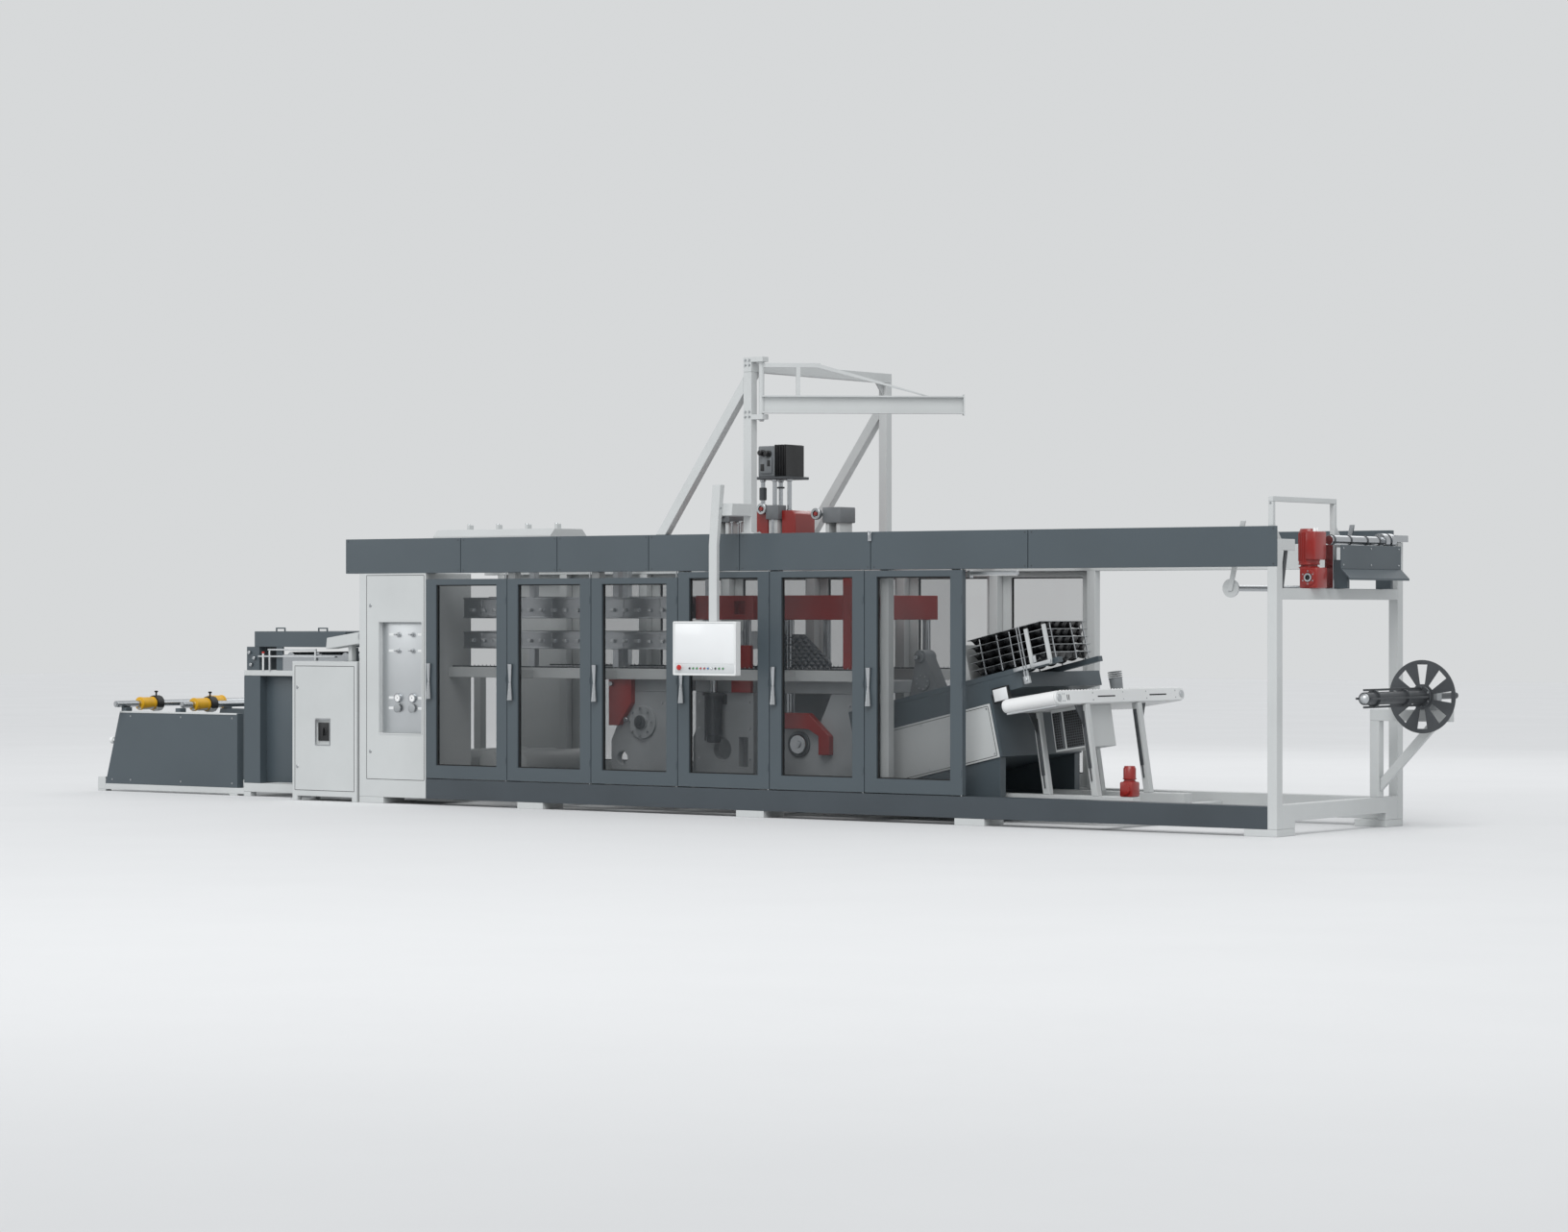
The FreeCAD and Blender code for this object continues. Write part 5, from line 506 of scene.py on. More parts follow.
fins = [block((0.752 + fin_pitch * i, -0.012, 2.794),
              (0.752 + fin_pitch * i + fin_thick, 0.242, 3.060 - 0.004 * (i % 2)), 0.002, 2)
        for i in range(8)]
piece("servo_fins", fins + [block((0.753, 0.0, 2.80), (0.866, 0.23, 3.045), 0.004)], black_enamel)
plugs = [lathe([(0.0, 0.026), (-0.02, 0.026), (-0.024, 0.022), (-0.055, 0.022), (-0.06, 0.016)],
               (x, -0.018, z), "Y", 24) for x, z in ((0.638, 2.992), (0.70, 2.985))]
plugs += [block((0.62, -0.036, 2.84), (0.66, -0.03, 2.90)),
          block((0.69, -0.038, 2.88), (0.72, -0.03, 2.93)),
          lathe([(3.045, 0.02), (3.06, 0.02), (3.064, 0.012)], (0.69, 0.1, 0), sides=24)]
piece("servo_plugs", plugs, black_enamel)
cases = [((0.126, -0.03, 2.42), (0.289, 0.22, 2.573)), ((0.700, -0.07, 2.435), (0.83, 0.05, 2.555)),
         ((1.246, -0.02, 2.40), (1.429, 0.20, 2.53))]
piece("gear_cases", [block(low, high, 0.008) for low, high in cases], servo_grey)
piece("gear_case_stands", [block((left, low[1] + 0.02, deck_top - 0.002),
                                 (left + 0.035, high[1] - 0.02, low[2] + 0.004))
                           for step in (0, 1) for low, high in cases
                           for left in [(low[0] + 0.02, high[0] - 0.055)[step]]], light_coat)
hubs = ((0.661, -0.05, 2.524), (1.205, -0.03, 2.475), (0.21, -0.03, 2.50))
covers = [lathe([(0.0, 0.048), (-0.028, 0.048), (-0.032, 0.044), (-0.032, 0.028), (-0.018, 0.026),
                 (-0.018, 0)], at, "Y", 40) for at in hubs]
covers += [disc((0.661, 0.06, 2.524), "Y", 0.02, -0.112),
           disc((1.205, 0.1, 2.475), "Y", 0.02, -0.132)]
piece("gear_case_covers", covers, zinc_plate)
piece("gear_case_hubs", [disc((x, y - 0.017, z), "Y", 0.019, -0.018, 0.003, 6)
                         for x, y, z in hubs], red_enamel)
rng = np.random.default_rng(4)
fittings = []
for x, y in [(0.33 + 0.045 * i, -0.04 + 0.03 * (i % 2)) for i in range(3)] + [
        (1.02 + 0.05 * i, -0.045 + 0.035 * (i % 2)) for i in range(4)]:
    top = 2.27 + 0.02 * rng.random() + (0.12 if x < 0.5 else 0)
    fittings.append(lathe([(deck_top, 0.017), (2.232, 0.017), (2.234, 0.009), (top, 0.009),
                           (top + 0.002, 0.019), (top + 0.014, 0.019), (top + 0.018, 0.012)],
                          (x, y, 0), sides=20))
valve = [(2.219, 0.05), (2.226, 0.05), (2.228, 0.034), (2.244, 0.034), (2.246, 0.044),
         (2.256, 0.044), (2.258, 0.02), (2.272, 0.018), (2.274, 0)]
places = ((0.16, 0.0), (1.05, 0.10), (1.16, 0.16), (1.40, 0.26), (1.45, 0.0), (0.36, 0.2))
piece("roof_drive_fittings", fittings, zinc_plate)
piece("roof_drive_valves", [lathe(valve, (x, y, 0), sides=28) for x, y in places],
      satin_aluminium)

# The winder's gearmotor: a red cast gearcase with its hollow shaft, the flanged neck, a finned
# upright motor with a terminal box, two white plugs on top and the covers' hexagon screws.
winder = np.array((5.945, -0.2885))
winder_case = [block((5.905, -0.37, 1.841), (6.058, -0.207, 1.998), 0.012),
               lathe([(1.99, 0.076), (2.002, 0.078), (2.006, 0.064), (2.016, 0.064),
                      (2.018, 0.08), (2.026, 0.082), (2.028, 0.078), (2.265, 0.078),
                      (2.275, 0.070), (2.288, 0.066), (2.290, 0.0)], (*winder, 0), sides=48),
               block((5.96, -0.378, 2.055), (6.046, -0.201, 2.268), 0.01)]
fin_root, fin_tip, fin_half, fin_low, fin_high = 0.072, 0.0815, 0.0018, 2.045, 2.255
for angle in np.radians(np.arange(0, 360, 15)):
    side = np.array([math.cos(angle), math.sin(angle)])
    across = np.array([-side[1], side[0]]) * fin_half
    outline = [winder + side * fin_root - across, winder + side * fin_tip - across,
               winder + side * fin_tip + across, winder + side * fin_root + across]
    winder_case.append(extrude(outline, fin_low, fin_high - fin_low, "Z"))
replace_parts(piece("winder_motor", winder_case, red_enamel, bevel=0.001), "winder_gearmotor")
shaft = (5.982, -0.37, 1.922)
piece("winder_shaft_cover", [lathe([(0.002, 0.062), (-0.006, 0.062), (-0.008, 0.058),
                                    (-0.008, 0.036), (0.0, 0.034)], shaft, "Y", 40)], red_enamel)
piece("winder_shaft", [lathe([(0.0, 0.032), (-0.012, 0.032), (-0.013, 0.02), (0.002, 0.018)],
                             shaft, "Y")], satin_aluminium)
piece("winder_key", [disc((shaft[0], shaft[1] - 0.001, shaft[2]), "Y", 0.014, -0.006, 0.001, 6)],
      black_enamel)


def around(at, along, radius, degrees):
    """Points on a circle round an axis through a point: at plus radius times cosine and sine."""
    turn = np.radians(degrees)
    flat = np.column_stack([radius * np.cos(turn), radius * np.sin(turn), np.zeros(len(turn))])
    return np.array(at) + flat[:, {"Y": [0, 2, 1], "Z": [0, 1, 2]}[along]]


def bolts(places, along, radius=0.007, outward=-1.0):
    """Hexagon heads on washers at places, standing off along an axis."""
    heads, tall = [], outward * radius
    for at in places:
        heads.append(lathe([(0, radius * 1.5), (outward * 0.0015, radius * 1.5)], at, along, 12))
        heads.append(lathe([(outward * 0.001, radius), (tall * 0.8, radius),
                            (tall, radius * 0.8)], at, along, 6))
    return heads


SIXTHS, EIGHTHS = np.arange(30, 390, 60), np.arange(0, 360, 45)
screws = bolts(around((shaft[0], shaft[1] - 0.007, shaft[2]), "Y", 0.048, SIXTHS), "Y", 0.004)
screws += bolts(around((*winder, 2.0255), "Z", 0.071, SIXTHS), "Z", 0.004, 1.0)
piece("winder_screws", screws, zinc_plate)
piece("winder_plug", [lathe([(2.265, 0.012), (2.285, 0.012), (2.287, 0.009), (2.297, 0.009)],
                            (6.03, y, 0), sides=20) for y in (-0.36, -0.32)], dial_white)

# The scrap reel: its disc, mandrel bars and shaft are blackened steel and its bearing is a grey
# casting; a satin nut and cap close the mandrel's free end, and clamp screws sit on the collar.
for node, material in (("scrap_reel", dark_steel), ("reel_bearing", cast_enamel)):
    NODES[node].data.materials.clear()
    NODES[node].data.materials.append(material)
reel_x, reel_z = 6.42, 1.018
reel_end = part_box("scrap_reel")[0][1]
piece("reel_nut", [lathe([(0.0, 0.040), (-0.010, 0.042), (-0.018, 0.034), (-0.030, 0.030),
                          (-0.040, 0.016), (-0.042, 0)], (reel_x, reel_end + 0.012, reel_z),
                         "Y", 40)], satin_aluminium, "reel")
piece("reel_hub", [lathe([(0.0, 0.082), (-0.014, 0.082), (-0.018, 0.078), (-0.018, 0.05)],
                         (reel_x, 0.621, reel_z), "Y", 48)], dark_steel, "reel")
piece("reel_bolts", bolts(around((reel_x, 0.604, reel_z), "Y", 0.066, SIXTHS), "Y", 0.006),
      zinc_plate, "reel")

# The web rollers over the winder: chromed tubes with pressed ends and clamp rings; the roller's
# side plate is dark sheet steel and the swinging dancer link is coated light grey.


def middles(node):
    """The middles of a CAD node's faces, one row each."""
    found = np.empty(3 * len(NODES[node].data.polygons), dtype=np.float32)
    NODES[node].data.polygons.foreach_get("center", found)
    return found.reshape(-1, 3)


def recolour(node, material, held):
    """Gives a material to the chosen faces of a CAD node."""
    mesh = NODES[node].data
    slots = np.empty(len(mesh.polygons), dtype=np.int32)
    mesh.polygons.foreach_get("material_index", slots)
    mesh.materials.append(material)
    slots[held] = len(mesh.materials) - 1
    mesh.polygons.foreach_set("material_index", slots)
    mesh.update()


def recolour_box(node, material, low, high):
    """Gives a material to the faces of a CAD node whose middles lie inside a box."""
    found = middles(node)
    recolour(node, material, np.all((found > np.array(low)) & (found < np.array(high)), axis=1))


recolour_box("web_rollers", dark_steel, (5.958, -0.78, 1.80), (5.976, -0.6, 2.20))
recolour_box("web_rollers", light_coat, (5.3, -0.76, 1.6), (5.80, -0.72, 2.4))
roller_x, roller_z = 6.024, 2.2065
piece("web_roller_rings", [disc((roller_x, y, roller_z), "Y", 0.041, 0.018)
                           for y in (-0.10, 0.16, 0.42, 0.62)], dark_steel)
piece("web_roller_screws", bolts(around((roller_x, 0.6845, roller_z), "Y", 0.047, SIXTHS), "Y",
                                 0.005), zinc_plate)
piece("hood_screws", bolts([(6.1025, y, z) for y in (-0.04, 0.40, 0.85) for z in (2.02, 2.145)],
                           "X", 0.005, 1.0), zinc_plate)

# The stacked trays: black polystyrene sheet drawn over plugs, so each has a flat rim and rows of
# cups; each hangs in the same place as its solid and rests on the next, inside a cage of chromed
# bars and zinc wires that clamps hold on the stacker's tilted deck.


def tipped(forms, corner, degrees):
    """Forms turned about the Y axis, their right side up by an angle, and moved to a corner."""
    c, s = math.cos(math.radians(degrees)), math.sin(math.radians(degrees))
    turn = np.array([(c, 0, s), (0, 1, 0), (-s, 0, c)])
    return [(points @ turn + np.array(corner), faces) for points, faces in forms]


def on_stacker(name, forms, material, bevel=0.0):
    """A piece in the stacker's own axes, which tip by 13 degrees at its lower front corner."""
    return piece(name, tipped(forms, (3.36, -0.58, 0.526), 13.0), material, bevel=bevel)


def sheet(top, lift):
    """A grid of points [u, v] and the same grid moved by lift, closed round the rim."""
    index = np.arange(top[..., 0].size).reshape(top.shape[:2])
    quads = np.stack([index[:-1, :-1], index[1:, :-1], index[1:, 1:], index[:-1, 1:]], -1)
    quads = quads.reshape(-1, 4)
    edge = np.concatenate([index[:, 0], index[-1, 1:], index[-2::-1, -1], index[0, -2:0:-1]])
    ahead = np.roll(edge, -1)
    wall = np.stack([edge, edge + index.size, ahead + index.size, ahead], -1)
    points = np.concatenate([top.reshape(-1, 3), (top + np.array(lift)).reshape(-1, 3)])
    return points, np.concatenate([quads, quads[:, ::-1] + index.size, wall]).tolist()


tray_left, tray_right, tray_wide = -0.09, 0.61, 0.66
tray_seat, tray_pitch, tray_count = 0.652, 0.061, 5
rim_wide, wall_wide, floor_deep, cup_deep, rows, columns = 0.018, 0.016, 0.014, 0.030, 7, 6
u, v = np.meshgrid(*[np.linspace(0, 1, 8 * n + 1) for n in (rows, columns)], indexing="ij")
rim = np.minimum(np.minimum(u, 1 - u) * (tray_right - tray_left), np.minimum(v, 1 - v) * tray_wide)
cup = np.abs(np.sin(u * math.pi * rows) * np.sin(v * math.pi * columns)) ** 0.6
drop = np.clip((rim - rim_wide) / wall_wide, 0, 1) * (floor_deep + cup_deep * cup)
trays = [sheet(np.stack([tray_left + u * (tray_right - tray_left), v * tray_wide,
                         tray_seat + tray_pitch * (i + 1) - 0.002 - drop], -1), (0, 0, -0.0025))
         for i in range(tray_count)]
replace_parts(on_stacker("drawn_trays", trays, tray_styrene), "tray_stack")
bars = [block((s, -0.004, 0.655), (s + 0.012, 0.004, 0.94), 0.002) for s in (0.02, 0.18, 0.30)]
bars += [block((0.604, y, 0.655), (0.612, y + 0.014, 0.945), 0.002) for y in (0.12, 0.42, 0.60)]
bars += [block((s, 0.656, 0.655), (s + 0.012, 0.664, 0.94), 0.002) for s in (0.1, 0.32, 0.54)]
on_stacker("tray_cage_bars", bars, hard_chrome)
wires, wire = [], 0.0028
for i in range(tray_count):
    n = tray_seat + tray_pitch * (i + 1) - 0.004
    wires += [disc((tray_left + 0.004, y, n), "X", wire, 0.70, 0.0005, 8)
              for y in (-0.0035, tray_wide + 0.0035)]
    wires += [disc((s, -0.0035, n), "Y", wire, tray_wide + 0.007, 0.0005, 8)
              for s in (tray_left - 0.002, tray_right + 0.002)]
on_stacker("tray_cage_wires", wires, zinc_plate)
guide = [(0.55, 0.009), (0.556, 0.011), (0.60, 0.011), (0.604, 0.006), (0.95, 0.006),
         (0.952, 0.004)]
on_stacker("tray_guide_rods", [lathe(guide, (s, -0.036, 0), sides=20) for s in (0.40, 0.425)],
           hard_chrome)
on_stacker("tray_clamps", [
    block((0.385, -0.05, 0.50), (0.44, -0.02, 0.56), 0.006),
    block((0.30, -0.035, 0.615), (0.46, -0.012, 0.645), 0.004),
    block((0.47, -0.05, 0.612), (0.66, -0.03, 0.642), 0.005),
    block((0.50, -0.045, 0.645), (0.53, -0.03, 0.70), 0.004),
    disc((0.412, -0.05, 0.53), "Y", 0.014, -0.012)], satin_aluminium)

# The stacker: slate body with pale side sheets, each with a finger slot drawn as a dark block of
# painted shade and zinc screws, a perforated black grille by the controls, and a small bare
# screen.
recolour_box("stacker_body", light_coat, (3.55, -0.60, 1.10), (4.0, -0.585, 1.7))
# A thin black ring round the side sheet is painted shade for the shadow in its joint.
on_stacker("stacker_panel_gap_shade", [ring((-1.33, 0.015), (-0.015, 0.415), 0.01, 0.004, -0.0012,
                                      0.001)], black_rubber)
# The finger slots are black blocks: painted shade for the dark inside of each slot.
on_stacker("stacker_finger_slot_shades", [block((s, -0.004, 0.345), (s + 0.05, 0.001, 0.367), 0.004)
                                    for s in (-0.30, -1.15)], black_rubber)
stud_pitch = 0.018
on_stacker("stacker_grille", [disc((s, 0.0205, n), "Y", 0.0065, -0.002, 0.0005, 10)
                              for s in -0.16 + stud_pitch * np.arange(8)
                              for n in 0.468 + stud_pitch * np.arange(6)], black_rubber)
on_stacker("stacker_screen_frame", [block((0.055, -0.014, 0.415), (0.205, 0.022, 0.535), 0.005)],
           black_enamel)
on_stacker("stacker_screen", [block((0.065, -0.0165, 0.427), (0.195, -0.012, 0.523), 0.002)],
           screen_glass)
on_stacker("stacker_screws", bolts([(s, 0.0, n) for s in (-1.31, -0.67, -0.035)
                                    for n in (0.035, 0.395)], "Y", 0.005), zinc_plate)

# The cross conveyor: a white urethane belt round crowned rollers, between white side plates with
# long slots drawn as black blocks of painted shade, end hubs and the cleats of a toothed edge. Its
# cart has perforated grilles, dark sleeves and gussets on its legs, and a stack of nested grey cups
# stands on the belt.


def on_belt(name, forms, material, bevel=0.0):
    """A piece in the conveyor's own axes, which tip by 9 degrees at its lower front corner."""
    return piece(name, tipped(forms, (3.55, -0.83, 0.872), 9.0), material, bevel=bevel)


belt_wide, belt_long, belt_tall, cheek = 0.5, 1.95, 0.112, 0.016


def band(inset, left, right):
    """A loop round two rollers, two half circles joined by straight runs, carried across."""
    r = belt_tall / 2 - inset
    turn = np.linspace(math.pi / 2, 3 * math.pi / 2, 14)
    near = np.column_stack([belt_tall / 2 + r * np.cos(turn), belt_tall / 2 + r * np.sin(turn)])
    far = np.column_stack([belt_long - belt_tall / 2 - r * np.cos(turn),
                           belt_tall / 2 - r * np.sin(turn)])
    return extrude(np.concatenate([near, far]), left, right - left, "X")


belt = on_belt("conveyor_belt", [band(0.0, cheek + 0.001, belt_wide - cheek - 0.001)],
               belt_urethane, bevel=0.004)
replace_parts(belt, "cross_conveyor")
on_belt("conveyor_side_plates", [band(0.006, left, left + cheek)
                                 for left in (0.0, belt_wide - cheek)], white_coat, bevel=0.002)
# The side plates' slots are proud black blocks: painted shade for the dark inside of the openings.
slots = [block((x, y, 0.05), (x + 0.004, y + 0.26, 0.062), 0.002)
         for x in (-0.001, belt_wide - 0.003) for y in (0.62, 1.40)]
slots += [block((belt_wide - 0.003, y, 0.034), (belt_wide + 0.001, y + 0.012, 0.078), 0.002)
          for y in (0.17, 0.194)]
on_belt("conveyor_slot_shades", slots, black_rubber)
cleat_pitch = 0.045
on_belt("conveyor_cleats", [block((x, y, belt_tall - 0.003), (x + 0.012, y + 0.018,
                                                              belt_tall + 0.006), 0.003, 2)
                            for x in (0.022, belt_wide - 0.034)
                            for y in np.arange(0.12, 1.84, cleat_pitch)], belt_urethane)
on_belt("conveyor_roller_hubs", [disc((x, y, belt_tall / 2), "X", 0.03, step, 0.003)
                                 for x, step in ((belt_wide, 0.008), (0, -0.008))
                                 for y in (0.056, belt_long - 0.056)], satin_aluminium)
on_belt("conveyor_screws", bolts([(belt_wide, y, z) for y in (0.11, 0.135, 0.55, 1.0, 1.35, 1.80)
                                  for z in (0.03, 0.085)], "X", 0.004, 1.0), zinc_plate)
on_belt("conveyor_bumper", [block((0.02, 0.03, -0.012), (0.48, 0.075, 0.004), 0.005)],
        satin_aluminium)
grille_pitch, case_face = 0.02, 0.501
studs, backs = [], []
for left, wide in ((0.135, 0.085), (0.235, 0.18)):
    backs.append(block((left, case_face - 0.0025, -0.315), (left + wide, case_face, -0.025),
                       0.001))
    studs += [block((x, case_face - 0.0055, z), (x + 0.013, case_face - 0.002, z + 0.013), 0.001, 2)
              for x in np.arange(left + 0.008, left + wide - 0.02, grille_pitch)
              for z in -0.303 + grille_pitch * np.arange(14)]
on_belt("cart_case_grille_backs", backs, dark_steel)
on_belt("cart_case_grilles", studs, black_rubber)
leg_y, sleeves = (0.43, 1.21), []
for x in (0.03, 0.464):
    for y in leg_y:
        sleeves.append(block((x - 0.014, y - 0.012, -0.50), (x + 0.014, y + 0.001, -0.05), 0.004))
        sleeves.append(lathe([(-0.60, 0.006), (-0.49, 0.006)], (x, y - 0.006, 0), sides=16))
on_belt("cart_leg_sleeves", sleeves, dark_steel)
gusset, leg_wide = 0.105, 0.06
on_belt("cart_leg_gussets", [extrude([(leg, -0.004), (leg + reach, -0.004), (leg, -0.2)], x, 0.01,
                                     "X") for x in (0.025, 0.459)
                             for leg, reach in ((leg_y[0] - 0.001, -gusset),
                                                (leg_y[1] + leg_wide + 0.001, gusset))],
        dark_steel, bevel=0.001)
motor_x, motor_y = 4.405, -0.34
cart_motor = piece("cart_motor", [
    block((motor_x - 0.058, motor_y - 0.058, 0.236), (motor_x + 0.058, motor_y + 0.058, 0.352),
          0.012),
    lathe([(0.345, 0.050), (0.358, 0.050), (0.36, 0.043), (0.368, 0.043), (0.37, 0.052),
           (0.378, 0.054), (0.38, 0.049), (0.455, 0.049), (0.462, 0.044), (0.474, 0.04),
           (0.475, 0)], (motor_x, motor_y, 0), sides=40),
    lathe([(0.0, 0.04), (-0.012, 0.04), (-0.014, 0.03), (-0.014, 0)],
          (motor_x, motor_y - 0.056, 0.293), "Y")], red_enamel)
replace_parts(cart_motor, "cart_gearmotor")
piece("cart_level_feet", [lathe([(0.155, 0.03), (0.17, 0.032), (0.176, 0.014), (0.22, 0.014),
                                 (0.222, 0.02), (0.236, 0.02)], (3.26, y, 0), sides=24)
                          for y in (-0.43, 0.53)], dark_steel)
cup_styrene = finish("grey_polystyrene_cup", "7d8184", 0.3, 30, 0.1, drift_mm=60, spread=0.08,
                     IOR=1.59)
lips = [(0.112, 0.054), (0.114, 0.058), (0.118, 0.058), (0.12, 0.055)]
cup_at, nest_step = (0.25, 1.33, belt_tall), 0.016
cups = [lathe([(0.0, 0.046), (0.004, 0.049), *lips, (0.11, 0.048), (0.006, 0.042)], cup_at,
              sides=48)]
cups += [lathe(np.array(lips) + (nest_step * i, 0), cup_at, sides=48) for i in (1, 2, 3)]
on_belt("cup_stack", cups, cup_styrene)

# The rear plinth rail shows its light grey inner side and top, where the cart's beams end on it.
recolour_box("plinth_rails", light_coat, (-9, 0.97, 0), (9, 1.119, 1))

# The air tanks: welded steel shells with dished ends, coated light grey, on saddles; each has a
# threaded boss and a black plug in its near end.
tanks, plugs = [], []
dish, tank_z = np.linspace(0, math.pi / 2, 9), 0.345
tank_line = np.vstack([np.column_stack([-0.030 - 0.043 * np.cos(dish), 0.105 * np.sin(dish)]),
                       np.column_stack([0.850 + 0.043 * np.sin(dish), 0.105 * np.cos(dish)])])
for tank_x in (-2.70, -2.36, -2.02):
    tanks.append(lathe(tank_line, (tank_x, 0, tank_z), "Y", 48))
    tanks += [disc((tank_x, y, tank_z), "Y", 0.1062, 0.006) for y in (-0.02, 0.832)]
    tanks += [block((tank_x - 0.05, y, 0.156), (tank_x + 0.05, y + 0.05, 0.27), 0.004)
              for y in (0.08, 0.68)]
    plugs.append(lathe([(-0.06, 0.024), (-0.076, 0.024), (-0.078, 0.016), (-0.078, 0)],
                       (tank_x, 0.006, tank_z), "Y", 6))
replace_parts(piece("air_tank_shells", tanks, light_coat), "air_tanks")
piece("air_tank_plugs", plugs, black_enamel)

# The heater banks: pressed steel boxes over and under the sheet, with an aluminium connector for
# each heater row on the front edge, cooling louvres above drawn as dark strips of painted shade,
# and ribs of folded edge.
connectors, louvres, ribs = [], [], []
for low, high in ((1.35, 1.50), (1.61, 1.79)):
    connectors += [block((x, -0.572, low + 0.055), (x + 0.045, -0.548, low + 0.085), 0.004)
                   for x in np.arange(-2.12, 0.22, 0.13)]
    ribs += [block((-2.205, -0.556, z), (0.255, -0.546, z + 0.014), 0.003)
             for z in (low + 0.002, high - 0.016)]
    ribs += [block((x, -0.554, low + 0.01), (x + 0.012, -0.547, high - 0.01), 0.002)
             for x in np.arange(-2.0, 0.2, 0.39)]
# The louvres are dark steel strips: painted shade for the dark inside of their openings.
for left in np.arange(-2.05, 0.15, 0.52):
    louvres += [block((x, -0.40, 1.789), (x + 0.010, -0.10, 1.796), 0.003, 2)
                for x in left + 0.028 * np.arange(7)]
piece("heater_connectors", connectors, satin_aluminium)
piece("heater_ribs", ribs, brushed_steel)
piece("heater_louvre_shades", louvres, dark_steel)

# The chain rails carry the sheet by its edges: a spiked roller chain runs in each, its links and
# spikes blackened and zinc-plated.
links = [(x, y) for y in (-0.555, 0.765) for x in np.arange(-2.33, 2.09, 0.045)]
piece("sheet_chain_links", [block((x, y, 1.189), (x + 0.036, y + 0.03, 1.201), 0.003, 2)
                            for x, y in links], dark_steel)
piece("sheet_chain_spikes", [lathe([(1.199, 0.006), (1.214, 0.0008)], (x + 0.018, y + 0.015, 0),
                                   sides=6) for x, y in links], zinc_plate)

# The drawn web: black polystyrene with diamond rows of cups that leaves the forming station, held
# upright against the third station's plate on a zinc rail.
u, v = np.meshgrid(np.linspace(0, 1, 85), np.linspace(0, 1, 65), indexing="ij")
web_left, web_low, web_high, web_y, web_pitch = 1.165, 1.10, 1.482, -0.455, 0.062
x = web_left + u * (np.interp(v, (0, 0.39, 1.0), (1.637, 1.656, 1.386)) - web_left)
z = web_low + v * (web_high - web_low)
diamond = np.abs(np.sin(math.pi * (x + z) / web_pitch) * np.sin(math.pi * (x - z) / web_pitch))
rim = np.clip(np.minimum(np.minimum(u, 1 - u), np.minimum(v, 1 - v)) / 0.05, 0, 1)
web_styrene = finish("drawn_polystyrene_web", "43464a", 0.3, 60, 0.3, drift_mm=200, spread=0.15,
                     IOR=1.59)
piece("drawn_web", [sheet(np.stack([x, web_y - 0.022 * diamond ** 0.7 * rim, z], -1),
                          (0, 0.0025, 0))], web_styrene)
piece("drawn_web_rail", [block((1.15, -0.47, 1.098), (1.66, -0.44, 1.112), 0.003)], zinc_plate)

# The forming stations: bolted bearing flanges on the cast plates, a dark air cylinder at the second
# station's mouth, the ground drum in the third, and pins on the red castings.
cast_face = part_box("press_side_plates")[0][1]
flange = (-0.27, cast_face, 0.74)
places = [(x, -0.48, z) for x in (0.32, 0.84) for z in (0.2, 0.45, 0.70, 0.92)]
places += [(x, -0.48, z) for x, z in ((-0.57, 0.22), (-0.07, 0.22), (-0.07, 0.9), (1.19, 0.22),
                                      (1.85, 0.22), (1.85, 0.9))]
piece("press_plate_bolts", bolts([*around(flange, "Y", 0.115, EIGHTHS), *places], "Y", 0.009),
      zinc_plate)
piece("press_flange_cap", [lathe([(0.002, 0.058), (-0.008, 0.058), (-0.012, 0.052),
                                  (-0.012, 0.026), (-0.02, 0.024), (-0.02, 0)], flange, "Y", 40)],
      dark_steel)
ram_x, ram_y = 0.53, -0.556
piece("press_air_cylinder", [
    lathe([(0.585, 0.05), (0.60, 0.058), (0.64, 0.06), (0.645, 0.068), (0.955, 0.068),
           (0.96, 0.074), (0.972, 0.074), (0.975, 0.095), (0.996, 0.095), (1.0, 0.09)],
          (ram_x, ram_y, 0), sides=48),
    *[disc((ram_x + step, ram_y - 0.055, 0.60), "Z", 0.008, 0.37) for step in (-0.045, 0.045)],
    block((0.45, -0.505, 0.90), (0.61, -0.478, 0.985), 0.005)], dark_steel)
piece("press_cylinder_rod", [disc((ram_x, ram_y, 0.998), "Z", 0.032, 0.10, 0.003)], hard_chrome)
drum = (1.35, -0.48, 0.585)
piece("press_drum_ring", [lathe([(0.002, 0.108), (-0.014, 0.108), (-0.018, 0.102),
                                 (-0.018, 0.086), (0.0, 0.084)], drum, "Y", 56)], dark_steel)
piece("press_drum", [lathe([(0.002, 0.084), (-0.024, 0.08), (-0.03, 0.074), (-0.03, 0.03),
                            (-0.045, 0.028), (-0.045, 0)], drum, "Y", 56)], hard_chrome)
piece("press_link_pins", [disc((x, y, z), "Y", r, -0.03, 0.003) for x, y, z, r in (
    (-0.56, -0.54, 1.06, 0.02), (-0.40, -0.54, 0.76, 0.02), (1.24, -0.505, 0.80, 0.028),
    (1.62, -0.505, 0.56, 0.028))], hard_chrome)

# The stacker's feed gearbox inside the sixth door: a grey cast housing that tapers to its bearing,
# bolted to the tilted body, with a ground shaft end and cover screws.
arc = np.radians(np.linspace(-25, 205, 16))
housing = np.vstack([[(-0.90, 0.6105), (-0.60, 0.6105), (-0.60, 0.655)],
                     np.column_stack([-0.72 + 0.06 * np.cos(arc), 0.96 + 0.06 * np.sin(arc)]),
                     [(-0.90, 0.655)]])
on_stacker("feed_gearbox", [extrude(housing, 0.24, 0.15),
                            disc((-0.72, 0.242, 0.96), "Y", 0.044, -0.02),
                            disc((-0.74, 0.242, 0.76), "Y", 0.07, -0.012)], servo_grey,
           bevel=0.005)
on_stacker("feed_gearbox_shaft", [disc((-0.72, 0.225, 0.96), "Y", 0.016, -0.05)], hard_chrome)
on_stacker("feed_gearbox_screws", bolts(around((-0.74, 0.23, 0.76), "Y", 0.055, EIGHTHS), "Y",
                                        0.005), zinc_plate)

